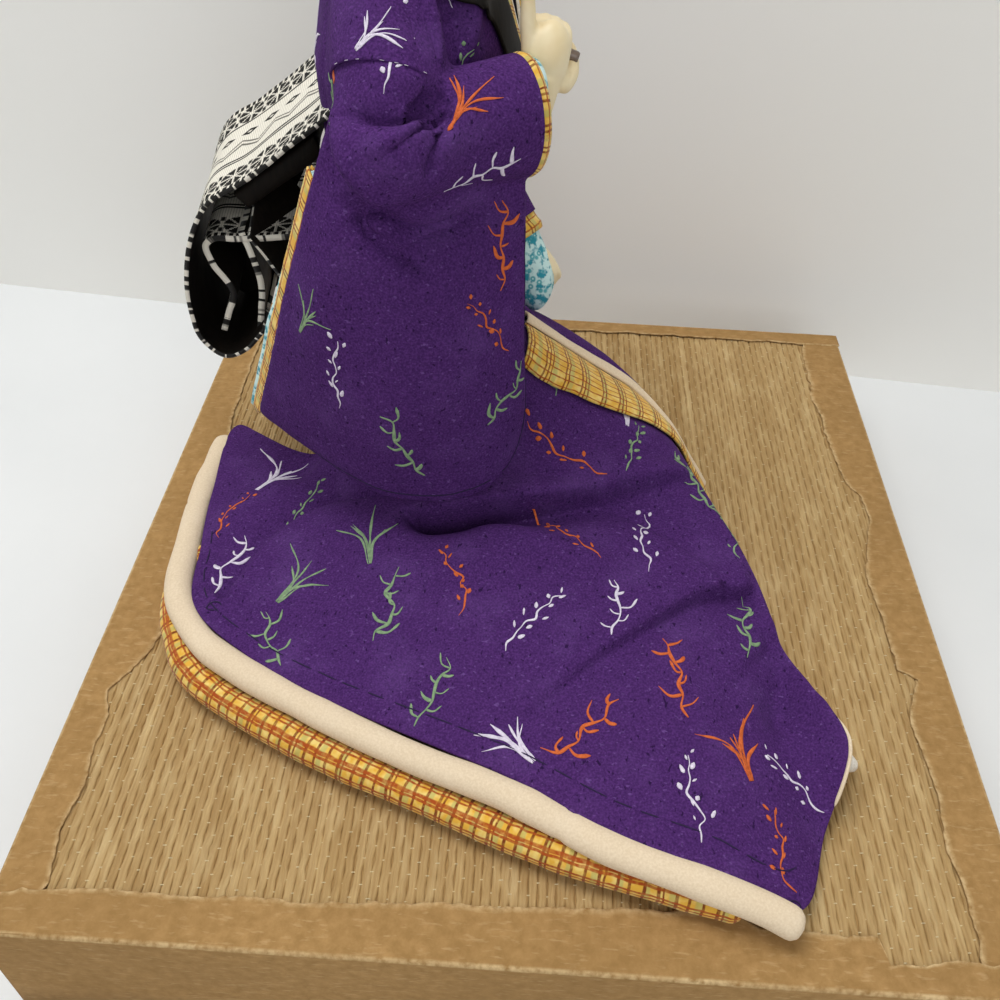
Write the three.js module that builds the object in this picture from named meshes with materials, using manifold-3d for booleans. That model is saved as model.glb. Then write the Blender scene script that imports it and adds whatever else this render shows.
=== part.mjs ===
// Seated geisha doll on a rush-mat display base. Millimetres, +Z up, the doll faces +X.
// The origin is the middle of the base's underside; the doll is built round its seat, on the mat.

import * as THREE from 'three';
import { mergeVertices } from 'three/addons/utils/BufferGeometryUtils.js';
import Module from 'manifold-3d';

const wasm = await Module();
wasm.setup();

// Clearances
const fitGap = 0.3; // between hard pieces that sit in or on each other
const clothGap = 0.4; // between layers of cloth

// Display base
const baseWidth = 300;
const baseDepth = 323;
const baseHeight = 50;
const sideThickness = 8;
const panelThickness = 5;
const matThickness = 2.5;
const paperThickness = 0.7;
const paperLap = 16; // how far the paper binding reaches in over the mat
const screwRadius = 2;
const screwHeadRadius = 4;
const screwHeadHeight = 2.5;
const screwBite = 14; // length of the screw inside the seat block
const screwSpread = 18; // screws stand this far either side of the seat's middle

// Seat and stuffed body, heights above the mat
const seatX = -45;
const seatY = 48;
const seatWidth = 56;
const seatHeight = 24;
const postRadius = 5;
const postHeight = 112;
const hipHeight = 50;
const hipDepth = 68;
const hipWidth = 82;
const waistHeight = 92;
const waistDepth = 52;
const waistWidth = 64;
const chestHeight = 168;
const chestDepth = 58;
const chestWidth = 82;
const shoulderHeight = 205;
const shoulderSlope = 13; // fall from the neck to the shoulder points
const wireRadius = 1.5;
const armRadius = 8;
const wristRadius = 5;
const wristPlay = 0.75; // between a hand's bore and its arm wire, on which it turns
const wireGrip = 9; // how far an arm wire reaches into its hand
const lapHandHeight = 88; // wrist of the left hand, which rests in the lap
const stakeRadius = 4;
const stakeDepth = 55; // how far the neck stake reaches down into the body
const stakeReach = 40; // and up into the neck and head

// Head and hair
const neckRadius = 10.5;
const neckX = 4;
const headHeight = 50;
const headWidth = 40;
const headDepth = 46;
const chinDrop = 18; // from the chin down to the shoulder line
const headBow = 4; // face carried this far in front of the neck
const hairLift = 17; // top of the hair above the crown
const combRadius = 11;
const combThickness = 2.2;
const combDepth = 3; // straight part below the round back
const pinRadius = 1.2;
const pinLength = 46;
const pinBallRadius = 4.5;

// Garments
const bodiceThickness = 2.4;
const collarWidth = 10;
const collarEdge = 3.2; // width of each under-collar that shows
const collarThickness = 1.6;
const obiHeight = 54;
const obiThickness = 3;
const bowWidth = 60;
const bowThickness = 2.5;
const bowShift = 4; // middle of the bow, towards the doll's left
const bowSplay = 6; // the bow's left side stands this much further off the back
const bowSag = 1.2;
const pillowThickness = 11;
const pillowInset = 7; // from each side of the bow to the pillow's end
const skirtThickness = 2;
const skirtTop = 76;
const hemRadius = 4.6; // padded roll along the kimono's hem
const underHemRadius = 5.6; // and the fuller one of the under-kimono below it
const liningThickness = 1.2;
const liningWidth = 3.5;
const sleeveThickness = 2;
const bagThickness = 6;
const panelLift = 2.2;
const edgingRadius = 1.8;
const stickRadius = 2;
const stickLength = 16;
const mouthFlat = 0.86; // a sleeve's mouth, thickness to height

const doll = new THREE.Group();
doll.position.set(seatX, seatY, baseHeight);
const model = new THREE.Group();
model.add(doll);

// Finishes
const finishes = {
  board: new THREE.MeshStandardMaterial({ color: 0xb08d5c, roughness: 0.8 }),
  rush: new THREE.MeshStandardMaterial({ color: 0xbe9a5e, roughness: 0.85 }),
  kraft: new THREE.MeshStandardMaterial({ color: 0xa27c50, roughness: 0.9 }),
  steel: new THREE.MeshStandardMaterial({ color: 0xb0b0b0, roughness: 0.4, metalness: 1 }),
  padding: new THREE.MeshStandardMaterial({ color: 0xe6dcc8, roughness: 0.95 }),
  skin: new THREE.MeshStandardMaterial({ color: 0xefe0c4, roughness: 0.45 }),
  hair: new THREE.MeshStandardMaterial({ color: 0x17130f, roughness: 0.4 }),
  lacquer: new THREE.MeshStandardMaterial({ color: 0x2b1d14, roughness: 0.25 }),
  purple: new THREE.MeshStandardMaterial({ color: 0x53307a, roughness: 0.9 }),
  cream: new THREE.MeshStandardMaterial({ color: 0xe9d3b8, roughness: 0.9 }),
  plaid: new THREE.MeshStandardMaterial({ color: 0xe5b348, roughness: 0.9 }),
  teal: new THREE.MeshStandardMaterial({ color: 0x4fb3bf, roughness: 0.9 }),
  black: new THREE.MeshStandardMaterial({ color: 0x241e1a, roughness: 0.6 }),
  white: new THREE.MeshStandardMaterial({ color: 0xf2efe8, roughness: 0.9 }),
  brocade: new THREE.MeshStandardMaterial({ color: 0xdcd9d0, roughness: 0.7 }),
};

// Solids and meshes
const point = (x, y, z) => new THREE.Vector3(x, y, z);

function addPiece(group, name, geometry, finish) {
  const mesh = new THREE.Mesh(geometry, finishes[finish]);
  mesh.name = name;
  group.add(mesh);
  return mesh;
}

function toSolid(geometry) {
  const bare = geometry.clone();
  for (const name of Object.keys(bare.attributes)) {
    if (name !== 'position') bare.deleteAttribute(name);
  }
  const merged = mergeVertices(bare, 1e-4);
  return new wasm.Manifold(new wasm.Mesh({
    numProp: 3,
    vertProperties: new Float32Array(merged.attributes.position.array),
    triVerts: new Uint32Array(merged.index.array),
  }));
}

function toGeometry(solid) {
  const mesh = solid.getMesh();
  const geometry = new THREE.BufferGeometry();
  geometry.setAttribute('position', new THREE.BufferAttribute(new Float32Array(mesh.vertProperties), 3));
  geometry.setIndex(new THREE.BufferAttribute(new Uint32Array(mesh.triVerts), 1));
  geometry.computeVertexNormals();
  return geometry;
}

function join(...geometries) {
  return toGeometry(geometries.map(toSolid).reduce((whole, next) => whole.add(next)));
}

// Cuts tools from a piece and keeps its largest body.
function cut(geometry, ...tools) {
  const left = tools.map(toSolid).reduce((whole, tool) => whole.subtract(tool), toSolid(geometry));
  const bodies = left.decompose().sort((a, b) => b.volume() - a.volume());
  return toGeometry(bodies[0]);
}

function fromFaces(points, faces) {
  const volume = faces.reduce((sum, [a, b, c]) => (
    sum + points[a].dot(points[b].clone().cross(points[c]))
  ), 0);
  const turned = volume < 0 ? faces.map(([a, b, c]) => [a, c, b]) : faces;
  const geometry = new THREE.BufferGeometry().setFromPoints(points);
  geometry.setIndex(turned.flat());
  geometry.computeVertexNormals();
  return geometry;
}

// A closed body through rings of points, with a fan over each end.
function loft(rings) {
  const sides = rings[0].length;
  const points = rings.flat();
  const faces = [];
  for (let row = 0; row < rings.length - 1; row += 1) {
    for (let side = 0; side < sides; side += 1) {
      const next = (side + 1) % sides;
      const a = row * sides + side;
      const b = row * sides + next;
      faces.push([a, b, b + sides], [a, b + sides, a + sides]);
    }
  }
  const capEnd = (row, flip) => {
    const middle = rings[row].reduce((sum, p) => sum.add(p), point(0, 0, 0)).divideScalar(sides);
    const hub = points.push(middle) - 1;
    for (let side = 0; side < sides; side += 1) {
      const a = row * sides + side;
      const b = row * sides + ((side + 1) % sides);
      faces.push(flip ? [b, a, hub] : [a, b, hub]);
    }
  };
  capEnd(0, true);
  capEnd(rings.length - 1, false);
  return fromFaces(points, faces);
}

// A grid of points moved along its surface normals; wrapped grids close round on themselves.
function liftGrid(grid, lift, wrapped) {
  const rows = grid.length;
  const columns = grid[0].length;
  const at = (row, column) => {
    const nearRow = wrapped ? (row + rows) % rows : THREE.MathUtils.clamp(row, 0, rows - 1);
    return grid[nearRow][THREE.MathUtils.clamp(column, 0, columns - 1)];
  };
  return grid.map((line, row) => line.map((place, column) => {
    const along = at(row + 1, column).clone().sub(at(row - 1, column));
    const across = at(row, column + 1).clone().sub(at(row, column - 1));
    return place.clone().addScaledVector(along.cross(across).normalize(), lift);
  }));
}

// A sheet of cloth over a grid of points, from one lift above it to the next.
function sheet(grid, from, to, wrapped = false) {
  const rows = grid.length;
  const columns = grid[0].length;
  const points = [...liftGrid(grid, to, wrapped).flat(), ...liftGrid(grid, from, wrapped).flat()];
  const back = rows * columns;
  const faces = [];
  const quad = (a, b, c, d) => faces.push([a, b, c], [a, c, d]);
  const bands = wrapped ? rows : rows - 1;
  for (let row = 0; row < bands; row += 1) {
    const next = ((row + 1) % rows) * columns;
    const here = row * columns;
    for (let column = 0; column < columns - 1; column += 1) {
      quad(here + column, next + column, next + column + 1, here + column + 1);
      quad(back + here + column, back + here + column + 1, back + next + column + 1, back + next + column);
    }
    const last = columns - 1;
    quad(here, back + here, back + next, next);
    quad(here + last, next + last, back + next + last, back + here + last);
  }
  if (!wrapped) {
    const end = (rows - 1) * columns;
    for (let column = 0; column < columns - 1; column += 1) {
      quad(column, column + 1, back + column + 1, back + column);
      quad(end + column, back + end + column, back + end + column + 1, end + column + 1);
    }
  }
  return fromFaces(points, faces);
}

// A round limb along a curve, its radius running through the given radii.
function limb(path, radii, steps, sides, flat = 1) {
  const curve = new THREE.CatmullRomCurve3(path);
  const frames = curve.computeFrenetFrames(steps, false);
  const rings = [];
  for (let step = 0; step <= steps; step += 1) {
    const place = (step / steps) * (radii.length - 1);
    const low = Math.min(Math.floor(place), radii.length - 2);
    const radius = THREE.MathUtils.lerp(radii[low], radii[low + 1], place - low);
    const middle = curve.getPointAt(step / steps);
    rings.push(Array.from({ length: sides }, (_, side) => {
      const turn = (side / sides) * Math.PI * 2;
      return middle.clone()
        .addScaledVector(frames.normals[step], Math.cos(turn) * radius)
        .addScaledVector(frames.binormals[step], Math.sin(turn) * radius * flat);
    }));
  }
  return loft(rings);
}

// A round bar along a curve.
function bar(path, radius, steps, sides) {
  const outline = Array.from({ length: sides }, (_, side) => {
    const turn = (side / sides) * Math.PI * 2;
    return new THREE.Vector2(Math.cos(turn) * radius, Math.sin(turn) * radius);
  });
  const extrudePath = new THREE.CatmullRomCurve3(path);
  return new THREE.ExtrudeGeometry(new THREE.Shape(outline), { steps, extrudePath, bevelEnabled: false });
}

function rod(from, to, radius, sides = 12) {
  const geometry = new THREE.CylinderGeometry(radius, radius, from.distanceTo(to), sides);
  const turn = new THREE.Quaternion().setFromUnitVectors(point(0, 1, 0), to.clone().sub(from).normalize());
  const middle = from.clone().lerp(to, 0.5);
  return geometry.applyQuaternion(turn).translate(middle.x, middle.y, middle.z);
}

function box(low, high) {
  const size = high.clone().sub(low);
  const middle = low.clone().lerp(high, 0.5);
  return new THREE.BoxGeometry(size.x, size.y, size.z).translate(middle.x, middle.y, middle.z);
}

function egg(middle, radii, columns = 18, rows = 12) {
  return new THREE.SphereGeometry(1, columns, rows)
    .rotateX(Math.PI / 2)
    .scale(radii.x, radii.y, radii.z)
    .translate(middle.x, middle.y, middle.z);
}

// The base: a plywood box, a rush mat on its top and torn paper binding round its edges
const innerWidth = baseWidth - 2 * paperThickness;
const innerDepth = baseDepth - 2 * paperThickness;
const panelTop = baseHeight - matThickness;
const panelBottom = panelTop - panelThickness;
const screwPlaces = [-screwSpread, screwSpread].map((x) => point(seatX + x, seatY, 0));

function makeBase() {
  const halfX = innerWidth / 2;
  const halfY = innerDepth / 2;
  const sideY = halfY - sideThickness;
  const shank = (place) => rod(
    point(place.x, place.y, panelBottom - fitGap),
    point(place.x, place.y, baseHeight + fitGap),
    screwRadius + fitGap,
  );
  const panel = box(point(-halfX, -halfY, panelBottom), point(halfX, halfY, panelTop));
  const mat = box(point(-halfX, -halfY, panelTop), point(halfX, halfY, baseHeight));
  const postHole = rod(
    point(seatX, seatY, panelTop - fitGap),
    point(seatX, seatY, baseHeight + fitGap),
    postRadius + fitGap,
  );
  addPiece(model, 'base_panel', cut(panel, ...screwPlaces.map(shank)), 'board');
  addPiece(model, 'tatami_mat', cut(mat, postHole, ...screwPlaces.map(shank)), 'rush');
  for (const [name, low, high] of [
    ['base_side_front', point(-halfX, -halfY, 0), point(halfX, -sideY, panelBottom)],
    ['base_side_back', point(-halfX, sideY, 0), point(halfX, halfY, panelBottom)],
    ['base_side_left', point(-halfX, -sideY, 0), point(sideThickness - halfX, sideY, panelBottom)],
    ['base_side_right', point(halfX - sideThickness, -sideY, 0), point(halfX, sideY, panelBottom)],
  ]) {
    addPiece(model, name, box(low, high), 'board');
  }
}

// One L-shaped strip of paper: along an edge of the base, over its top, torn along the inner edge.
// Tears are pairs: how far along the strip, from 0 to 1, and how much more or less it reaches in.
function paperStrip(length, topStart, topEnd, tears) {
  const outline = new THREE.Shape();
  outline.moveTo(topStart, 0);
  outline.lineTo(topEnd, 0);
  for (const [along, more] of [...tears].reverse()) {
    outline.lineTo(THREE.MathUtils.lerp(topStart, topEnd, along), paperLap + more);
  }
  const top = new THREE.ExtrudeGeometry(outline, { depth: paperThickness, bevelEnabled: false });
  top.translate(0, 0, baseHeight);
  const wall = box(point(-length / 2, 0, 0), point(length / 2, paperThickness, baseHeight - fitGap));
  const fold = box(point(topStart, 0, 0), point(topEnd, paperThickness, baseHeight + paperThickness));
  return join(top, wall, fold);
}

function makePaper() {
  const sideLength = baseDepth - 2 * paperThickness - 2 * fitGap;
  const sideFront = paperLap + 3 + fitGap - baseDepth / 2;
  const sideBack = baseDepth / 2 - paperLap + 4 - fitGap;
  const strips = [
    ['paper_front', baseWidth, -baseWidth / 2, baseWidth / 2, 0, point(0, -baseDepth / 2, 0), [
      [0, -2], [0.05, -2.5], [0.15, -1.5], [0.3, -1.5], [0.43, 1.5], [0.58, 2.5], [0.71, 2.8],
      [0.74, 0.5], [0.85, -0.5], [0.853, -7.5], [0.93, -5.5], [1, -6],
    ]],
    ['paper_back', baseWidth, -baseWidth / 2, baseWidth / 2, Math.PI, point(0, baseDepth / 2, 0), [
      [0, -5.5], [0.25, -6.5], [0.6, -6], [1, -6.5],
    ]],
    ['paper_left', sideLength, -sideBack, -sideFront, -Math.PI / 2, point(-baseWidth / 2, 0, 0), [
      [0, -2], [0.19, -1], [0.38, 2], [0.57, 5], [0.69, 5], [0.74, 0], [0.775, -6], [0.805, -2],
      [0.89, -1], [0.94, -3], [1, -1],
    ]],
    ['paper_right', sideLength, sideFront, sideBack, Math.PI / 2, point(baseWidth / 2, 0, 0), [
      [0, 2], [0.08, 2], [0.16, 1], [0.25, 2], [0.31, -5], [0.35, 2], [0.48, 3], [0.58, -4],
      [0.66, 1], [0.85, 5], [1, 3],
    ]],
  ];
  for (const [name, length, start, end, turn, place, tears] of strips) {
    const strip = addPiece(model, name, paperStrip(length, start, end, tears), 'kraft');
    strip.rotation.z = turn;
    strip.position.copy(place);
  }
}

function makeScrews() {
  screwPlaces.forEach((place, index) => {
    const head = rod(
      point(place.x, place.y, panelBottom - fitGap - screwHeadHeight),
      point(place.x, place.y, panelBottom - fitGap),
      screwHeadRadius,
    );
    const shank = rod(
      point(place.x, place.y, panelBottom - fitGap - screwHeadHeight / 2),
      point(place.x, place.y, baseHeight + screwBite),
      screwRadius,
    );
    addPiece(model, `seat_screw_${index + 1}`, join(head, shank), 'steel');
  });
}

// The body's cross-sections up the trunk: height, half-depth and half-width
const bodySections = [
  [seatHeight + fitGap, hipDepth / 2 - 1, hipWidth / 2 - 1],
  [hipHeight, hipDepth / 2, hipWidth / 2],
  [waistHeight, waistDepth / 2, waistWidth / 2],
  [(waistHeight + chestHeight) / 2, (waistDepth + chestDepth) / 4, (waistWidth + chestWidth) / 4],
  [chestHeight, chestDepth / 2, chestWidth / 2],
  [shoulderHeight - shoulderSlope, chestDepth / 2 - 5, chestWidth / 2],
  [shoulderHeight, neckRadius + 4, neckRadius + 14],
];

// Half-depth and half-width of the body at a height
function bodySize(height) {
  const above = Math.max(bodySections.findIndex(([z]) => z >= height), 1);
  const upper = bodySections[height > shoulderHeight ? bodySections.length - 1 : above];
  const lower = bodySections[bodySections.indexOf(upper) - 1];
  const share = THREE.MathUtils.clamp((height - lower[0]) / (upper[0] - lower[0]), 0, 1);
  return [THREE.MathUtils.lerp(lower[1], upper[1], share), THREE.MathUtils.lerp(lower[2], upper[2], share)];
}

// A point on the body, or a set distance outside it; turn 0 is the front
function bodyPoint(turn, height, outside = 0) {
  const [depth, width] = bodySize(height);
  return point(Math.cos(turn) * (depth + outside), Math.sin(turn) * (width + outside), height);
}

const bodySides = 20;

// Points on the body's surface: one line per side, running up through the given heights
function bodyGrid(heights, sides) {
  return Array.from({ length: sides }, (_, side) => (
    heights.map((z) => bodyPoint((side / sides) * Math.PI * 2, z))
  ));
}

// Sleeves and hands: the middle of the tube at shoulder, elbow and wrist, its girth there, the bag that
// hangs from it, and the hand at its mouth
const rightSleeve = {
  shoulder: point(-4, -33, shoulderHeight - 13),
  elbow: point(0, -60, shoulderHeight - 39),
  wrist: point(32.6, -38.6, shoulderHeight - 38.5),
  girth: [15, 17, 16],
  bagTop: [point(-24, -46, 150), point(-13, -62, 150), point(5, -66, 151), point(25, -51, 151), point(41, -38, 151)],
  bagBottom: [point(-55, -41, 56), point(-33, -59, 55), point(-4, -73, 48), point(26, -68, 48.5), point(39, -50, 62)],
  hand: point(37, -33.5, shoulderHeight - 39),
  aim: point(0.17, 0.22, 0.96).normalize(),
  roll: 0.15,
};
const leftSleeve = {
  shoulder: point(-4, 33, shoulderHeight - 13),
  elbow: point(-2, 60, THREE.MathUtils.lerp(shoulderHeight - 13, lapHandHeight + 4, 0.62)),
  wrist: point(30, 43, lapHandHeight + 4),
  girth: [15, 17, 14],
  bagTop: [point(-16, 64, 122), point(-4, 68, 116), point(10, 62, 104), point(20, 56, 94), point(29, 51, 86)],
  bagBottom: [point(-30, 66, 64), point(-8, 74, 62), point(14, 70, 62), point(32, 58, 62), point(46, 42, 63)],
  hand: point(32, 40, lapHandHeight),
  aim: point(0.62, -0.3, -0.72).normalize(),
  roll: -1.2,
};

function armPath(sleeve) {
  const inside = point(-1, Math.sign(sleeve.shoulder.y) * 26, shoulderHeight - 12);
  return [
    inside,
    sleeve.shoulder.clone().lerp(sleeve.elbow, 0.2),
    sleeve.elbow,
    sleeve.elbow.clone().lerp(sleeve.hand, 0.55),
    sleeve.hand.clone().addScaledVector(sleeve.aim, -wristRadius - 2),
    sleeve.hand.clone().addScaledVector(sleeve.aim, 1),
    sleeve.hand.clone().addScaledVector(sleeve.aim, wireGrip),
  ];
}

function armWire(path, radius) {
  return bar(path, radius, 18, 6);
}

function armPadding(path, radius) {
  const curve = new THREE.CatmullRomCurve3(path);
  const padded = [1, 1.6, 2.2, 2.8, 3.4].map((place) => curve.getPoint(place / (path.length - 1)));
  return limb(padded, [radius, radius, radius * 0.9, radius * 0.75], 7, 9);
}

function makeBody() {
  const block = box(point(-seatWidth / 2, -seatWidth / 2, 0), point(seatWidth / 2, seatWidth / 2, seatHeight));
  const screwHoles = [-screwSpread, screwSpread].map((x) => (
    rod(point(x, 0, -fitGap), point(x, 0, screwBite + fitGap), screwRadius + fitGap)
  ));
  const postHole = rod(point(0, 0, -fitGap), point(0, 0, postHeight + fitGap), postRadius + fitGap);
  const stakeHole = rod(
    point(neckX, 0, shoulderHeight - stakeDepth - fitGap),
    point(neckX, 0, shoulderHeight + fitGap),
    stakeRadius + fitGap,
  );
  addPiece(doll, 'seat_block', cut(block, postHole, ...screwHoles), 'board');
  const post = rod(point(0, 0, -matThickness + fitGap), point(0, 0, postHeight), postRadius);
  addPiece(doll, 'body_post', post, 'board');
  const heights = bodySections.map(([z]) => z);
  const grid = bodyGrid(heights, bodySides);
  const rings = heights.map((_, row) => grid.map((line) => line[row]));
  const paths = [rightSleeve, leftSleeve].map(armPath);
  const wireHoles = paths.map((path) => armWire(path, wireRadius + fitGap));
  addPiece(doll, 'body_stuffing', cut(loft(rings), postHole, stakeHole, ...wireHoles), 'padding');
  ['right', 'left'].forEach((side, index) => {
    addPiece(doll, `${side}_arm_wire`, armWire(paths[index], wireRadius), 'steel');
    const padding = cut(armPadding(paths[index], armRadius), wireHoles[index], dressedBody(clothGap));
    addPiece(doll, `${side}_arm`, padding, 'padding');
  });
}

// A stuffed limb lying on the mat, through places given as x, y and the limb's radius there
function lyingLimb(places, steps, sides) {
  const path = places.map(([x, y, radius]) => point(x, y, radius + clothGap));
  return limb(path, places.map(([, , radius]) => radius), steps, sides);
}

// Legs under the skirt, and the split-toed sock that peeps out of the hem
function makeLegs() {
  const rightLeg = [[36, -34, 13], [70, -48, 14], [98, -62, 10], [112, -86, 6], [123, -108, 4.5]];
  const leftLeg = [[42, 20, 13], [60, 10, 13], [76, -1, 10], [86, -16, 7]];
  const foot = [[128, -116, 4.2], [139, -130, 5.6], [146, -138, 5.2], [150, -143, 3.6]];
  addPiece(doll, 'right_leg', lyingLimb(rightLeg, 12, 10), 'padding');
  addPiece(doll, 'left_leg', lyingLimb(leftLeg, 9, 10), 'padding');
  addPiece(doll, 'right_foot', lyingLimb(foot, 6, 10), 'white');
}

// A hand built along +Z from the wrist: palm, curled fingers and a thumb, then turned to its aim
function handShape(curl) {
  const wrist = rod(point(0, 0, -5), point(0, 0, 8), wristRadius);
  const palm = egg(point(0, 0, 12), point(7.5, 4.6, 10), 10, 7);
  const fingers = [-5, -1.7, 1.7, 5].map((x) => limb(
    [
      point(x, 0, 17),
      point(x * 0.95, 1 + curl * 2, 23),
      point(x * 0.9, 2 + curl * 7, 25 - curl * 2),
      point(x * 0.85, 2 + curl * 9, 29 - curl * 11),
    ],
    [2.2, 2, 1.6],
    3,
    5,
  ));
  const thumb = limb([point(6, 1, 8), point(9, 4, 13), point(7, 7, 18)], [2.4, 2.1, 1.7], 3, 6);
  return join(wrist, palm, thumb, ...fingers);
}

function placeHand(geometry, sleeve) {
  const turn = new THREE.Quaternion().setFromUnitVectors(point(0, 0, 1), sleeve.aim);
  const spin = new THREE.Quaternion().setFromAxisAngle(point(0, 0, 1), sleeve.roll);
  return geometry
    .applyQuaternion(turn.multiply(spin))
    .translate(sleeve.hand.x, sleeve.hand.y, sleeve.hand.z);
}

// The straight bore in a hand, along the axis it turns on
function handBore(sleeve) {
  return placeHand(
    rod(point(0, 0, -2 * wristRadius), point(0, 0, wireGrip + fitGap), wireRadius + wristPlay),
    sleeve,
  );
}

// Room for a hand to turn about its wire
function handRoom(sleeve) {
  const wrist = rod(point(0, 0, -8), point(0, 0, 8), wristRadius + 1);
  return placeHand(join(wrist, egg(point(0, 0, 12), point(9, 9, 11), 8, 6)), sleeve);
}

// The stick runs through the curled fingers of the right hand, its near end showing beside the fist
const stickAim = point(0.95, -0.05, -0.3).normalize();
const stickTip = rightSleeve.hand.clone().add(point(13.7, 9, 12));

function stickRod(radius, beyond) {
  return rod(
    stickTip.clone().addScaledVector(stickAim, -stickLength - beyond),
    stickTip.clone().addScaledVector(stickAim, beyond),
    radius,
    8,
  );
}

function makeHands() {
  const right = placeHand(handShape(1), rightSleeve);
  const left = placeHand(handShape(0.25), leftSleeve);
  addPiece(doll, 'right_hand', cut(right, handBore(rightSleeve), stickRod(stickRadius + fitGap, stickLength)), 'skin');
  addPiece(doll, 'left_hand', cut(left, handBore(leftSleeve)), 'skin');
  addPiece(doll, 'held_stick', stickRod(stickRadius, 0), 'lacquer');
}

// Head: an egg narrowed to the chin on a round neck
const chinHeight = shoulderHeight + chinDrop;
const headMiddle = point(neckX + headBow, 0, chinHeight + headHeight / 2);

function headShape(outside) {
  const radii = point(headDepth / 2 + outside, headWidth / 2 + outside, headHeight / 2 + outside);
  const head = egg(point(0, 0, 0), radii, 16, 10);
  const places = head.attributes.position;
  for (let index = 0; index < places.count; index += 1) {
    const low = Math.max(0, -places.getZ(index) / radii.z);
    const jaw = 1 - 0.3 * low ** 2;
    places.setY(index, places.getY(index) * jaw);
    places.setX(index, places.getX(index) * jaw + low ** 2 * 4);
  }
  return head.translate(headMiddle.x, headMiddle.y, headMiddle.z);
}

function neckShape(outside) {
  const foot = point(neckX, 0, shoulderHeight + fitGap);
  return rod(foot, point(neckX, 0, headMiddle.z - 4), neckRadius + outside, 14);
}

const stakeTop = shoulderHeight + stakeReach;

function makeHead() {
  const stakeFoot = point(neckX, 0, shoulderHeight - stakeDepth);
  const stakeHole = rod(
    point(neckX, 0, shoulderHeight - fitGap),
    point(neckX, 0, stakeTop + fitGap),
    stakeRadius + fitGap,
  );
  addPiece(doll, 'head', cut(join(headShape(0), neckShape(0)), stakeHole), 'skin');
  addPiece(doll, 'neck_stake', rod(stakeFoot, point(neckX, 0, stakeTop), stakeRadius), 'board');
}

// Hair: a rolled-up dressing in five pieces, each cut by those before it
const crown = chinHeight + headHeight;
const combFoot = point(neckX - 3, 0, crown + fitGap);
const pins = [
  { name: 'hairpin_right', tip: point(neckX - 15, -4, crown - 1), aim: point(-0.1, -0.98, 0.18).normalize() },
  { name: 'hairpin_left', tip: point(neckX - 15, 4, crown - 1), aim: point(-0.1, 0.98, 0.18).normalize() },
];

function combShape(outside, rise) {
  const outline = new THREE.Shape();
  const half = combRadius + outside;
  outline.moveTo(-half, -outside);
  outline.lineTo(half, -outside);
  outline.lineTo(half, combDepth + rise);
  outline.absarc(0, combDepth + rise, half, 0, Math.PI, false);
  const thick = combThickness + 2 * outside;
  return new THREE.ExtrudeGeometry(outline, { depth: thick, bevelEnabled: false, curveSegments: 14 })
    .translate(0, 0, -thick / 2)
    .rotateX(Math.PI / 2)
    .rotateZ(Math.PI / 2)
    .translate(combFoot.x, combFoot.y, combFoot.z);
}

function pinRod(pin, radius, start, end) {
  return rod(
    pin.tip.clone().addScaledVector(pin.aim, start),
    pin.tip.clone().addScaledVector(pin.aim, end),
    radius,
    8,
  );
}

function makeHair() {
  const back = headMiddle.x - headDepth / 2;
  const wing = (side) => egg(
    point(headMiddle.x - 5, side * (headWidth / 2 - 5), headMiddle.z + 8),
    point(headDepth / 2 - 3, 12, headHeight / 2 - 6),
    14,
    9,
  );
  const shapes = [
    ['hair_nape', egg(point(back + 7, 0, headMiddle.z + 2), point(20, headWidth / 2 + 1.5, headHeight / 2), 14, 9)],
    ['hair_side_right', wing(-1)],
    ['hair_side_left', wing(1)],
    ['hair_front', egg(point(headMiddle.x + 6, 0, crown - 4), point(17, headWidth / 2 - 1, 12), 14, 9)],
    ['hair_topknot', egg(
      point(back + 6, 0, crown + hairLift / 2 - 1),
      point(20, 11, hairLift / 2 + 1),
      14,
      9,
    )],
  ];
  const slots = [
    headShape(fitGap),
    neckShape(fitGap),
    combShape(fitGap, 60),
    ...pins.map((pin) => pinRod(pin, pinRadius + fitGap, -1, pinLength + 20)),
  ];
  const grown = [];
  for (const [name, shape] of shapes) {
    addPiece(doll, name, cut(shape, ...slots, ...grown), 'hair');
    const middle = new THREE.Box3().setFromBufferAttribute(shape.attributes.position).getCenter(point());
    const size = new THREE.Box3().setFromBufferAttribute(shape.attributes.position).getSize(point());
    const swell = (length) => (length + 2 * fitGap) / length;
    const larger = shape.clone().translate(-middle.x, -middle.y, -middle.z)
      .scale(swell(size.x), swell(size.y), swell(size.z))
      .translate(middle.x, middle.y, middle.z);
    grown.push(larger);
  }
  addPiece(doll, 'hair_comb', combShape(0, 0), 'lacquer');
  for (const pin of pins) {
    const ball = egg(
      pin.tip.clone().addScaledVector(pin.aim, pinLength),
      point(pinBallRadius, pinBallRadius, pinBallRadius),
      10,
      7,
    );
    addPiece(doll, pin.name, join(pinRod(pin, pinRadius, 0, pinLength), ball), 'lacquer');
  }
}

// Bodice, collars and sash wrapped round the body
const bodiceSurface = bodiceThickness + clothGap;
const obiBottom = skirtTop + skirtThickness;
const obiTop = obiBottom + obiHeight;
const bodiceRows = [obiBottom, waistHeight, (waistHeight + chestHeight) / 2, chestHeight,
  shoulderHeight - shoulderSlope, shoulderHeight - 2];

function bodiceShape(from, to, taller = 0) {
  const rows = [...bodiceRows.slice(0, -1), bodiceRows.at(-1) + taller];
  return sheet(bodyGrid(rows, bodySides), from, to, true);
}

function obiShape(from, to) {
  const rows = [obiBottom, waistHeight, (waistHeight + chestHeight) / 2, obiTop];
  return sheet(bodyGrid(rows, bodySides), from, to, true);
}

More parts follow.
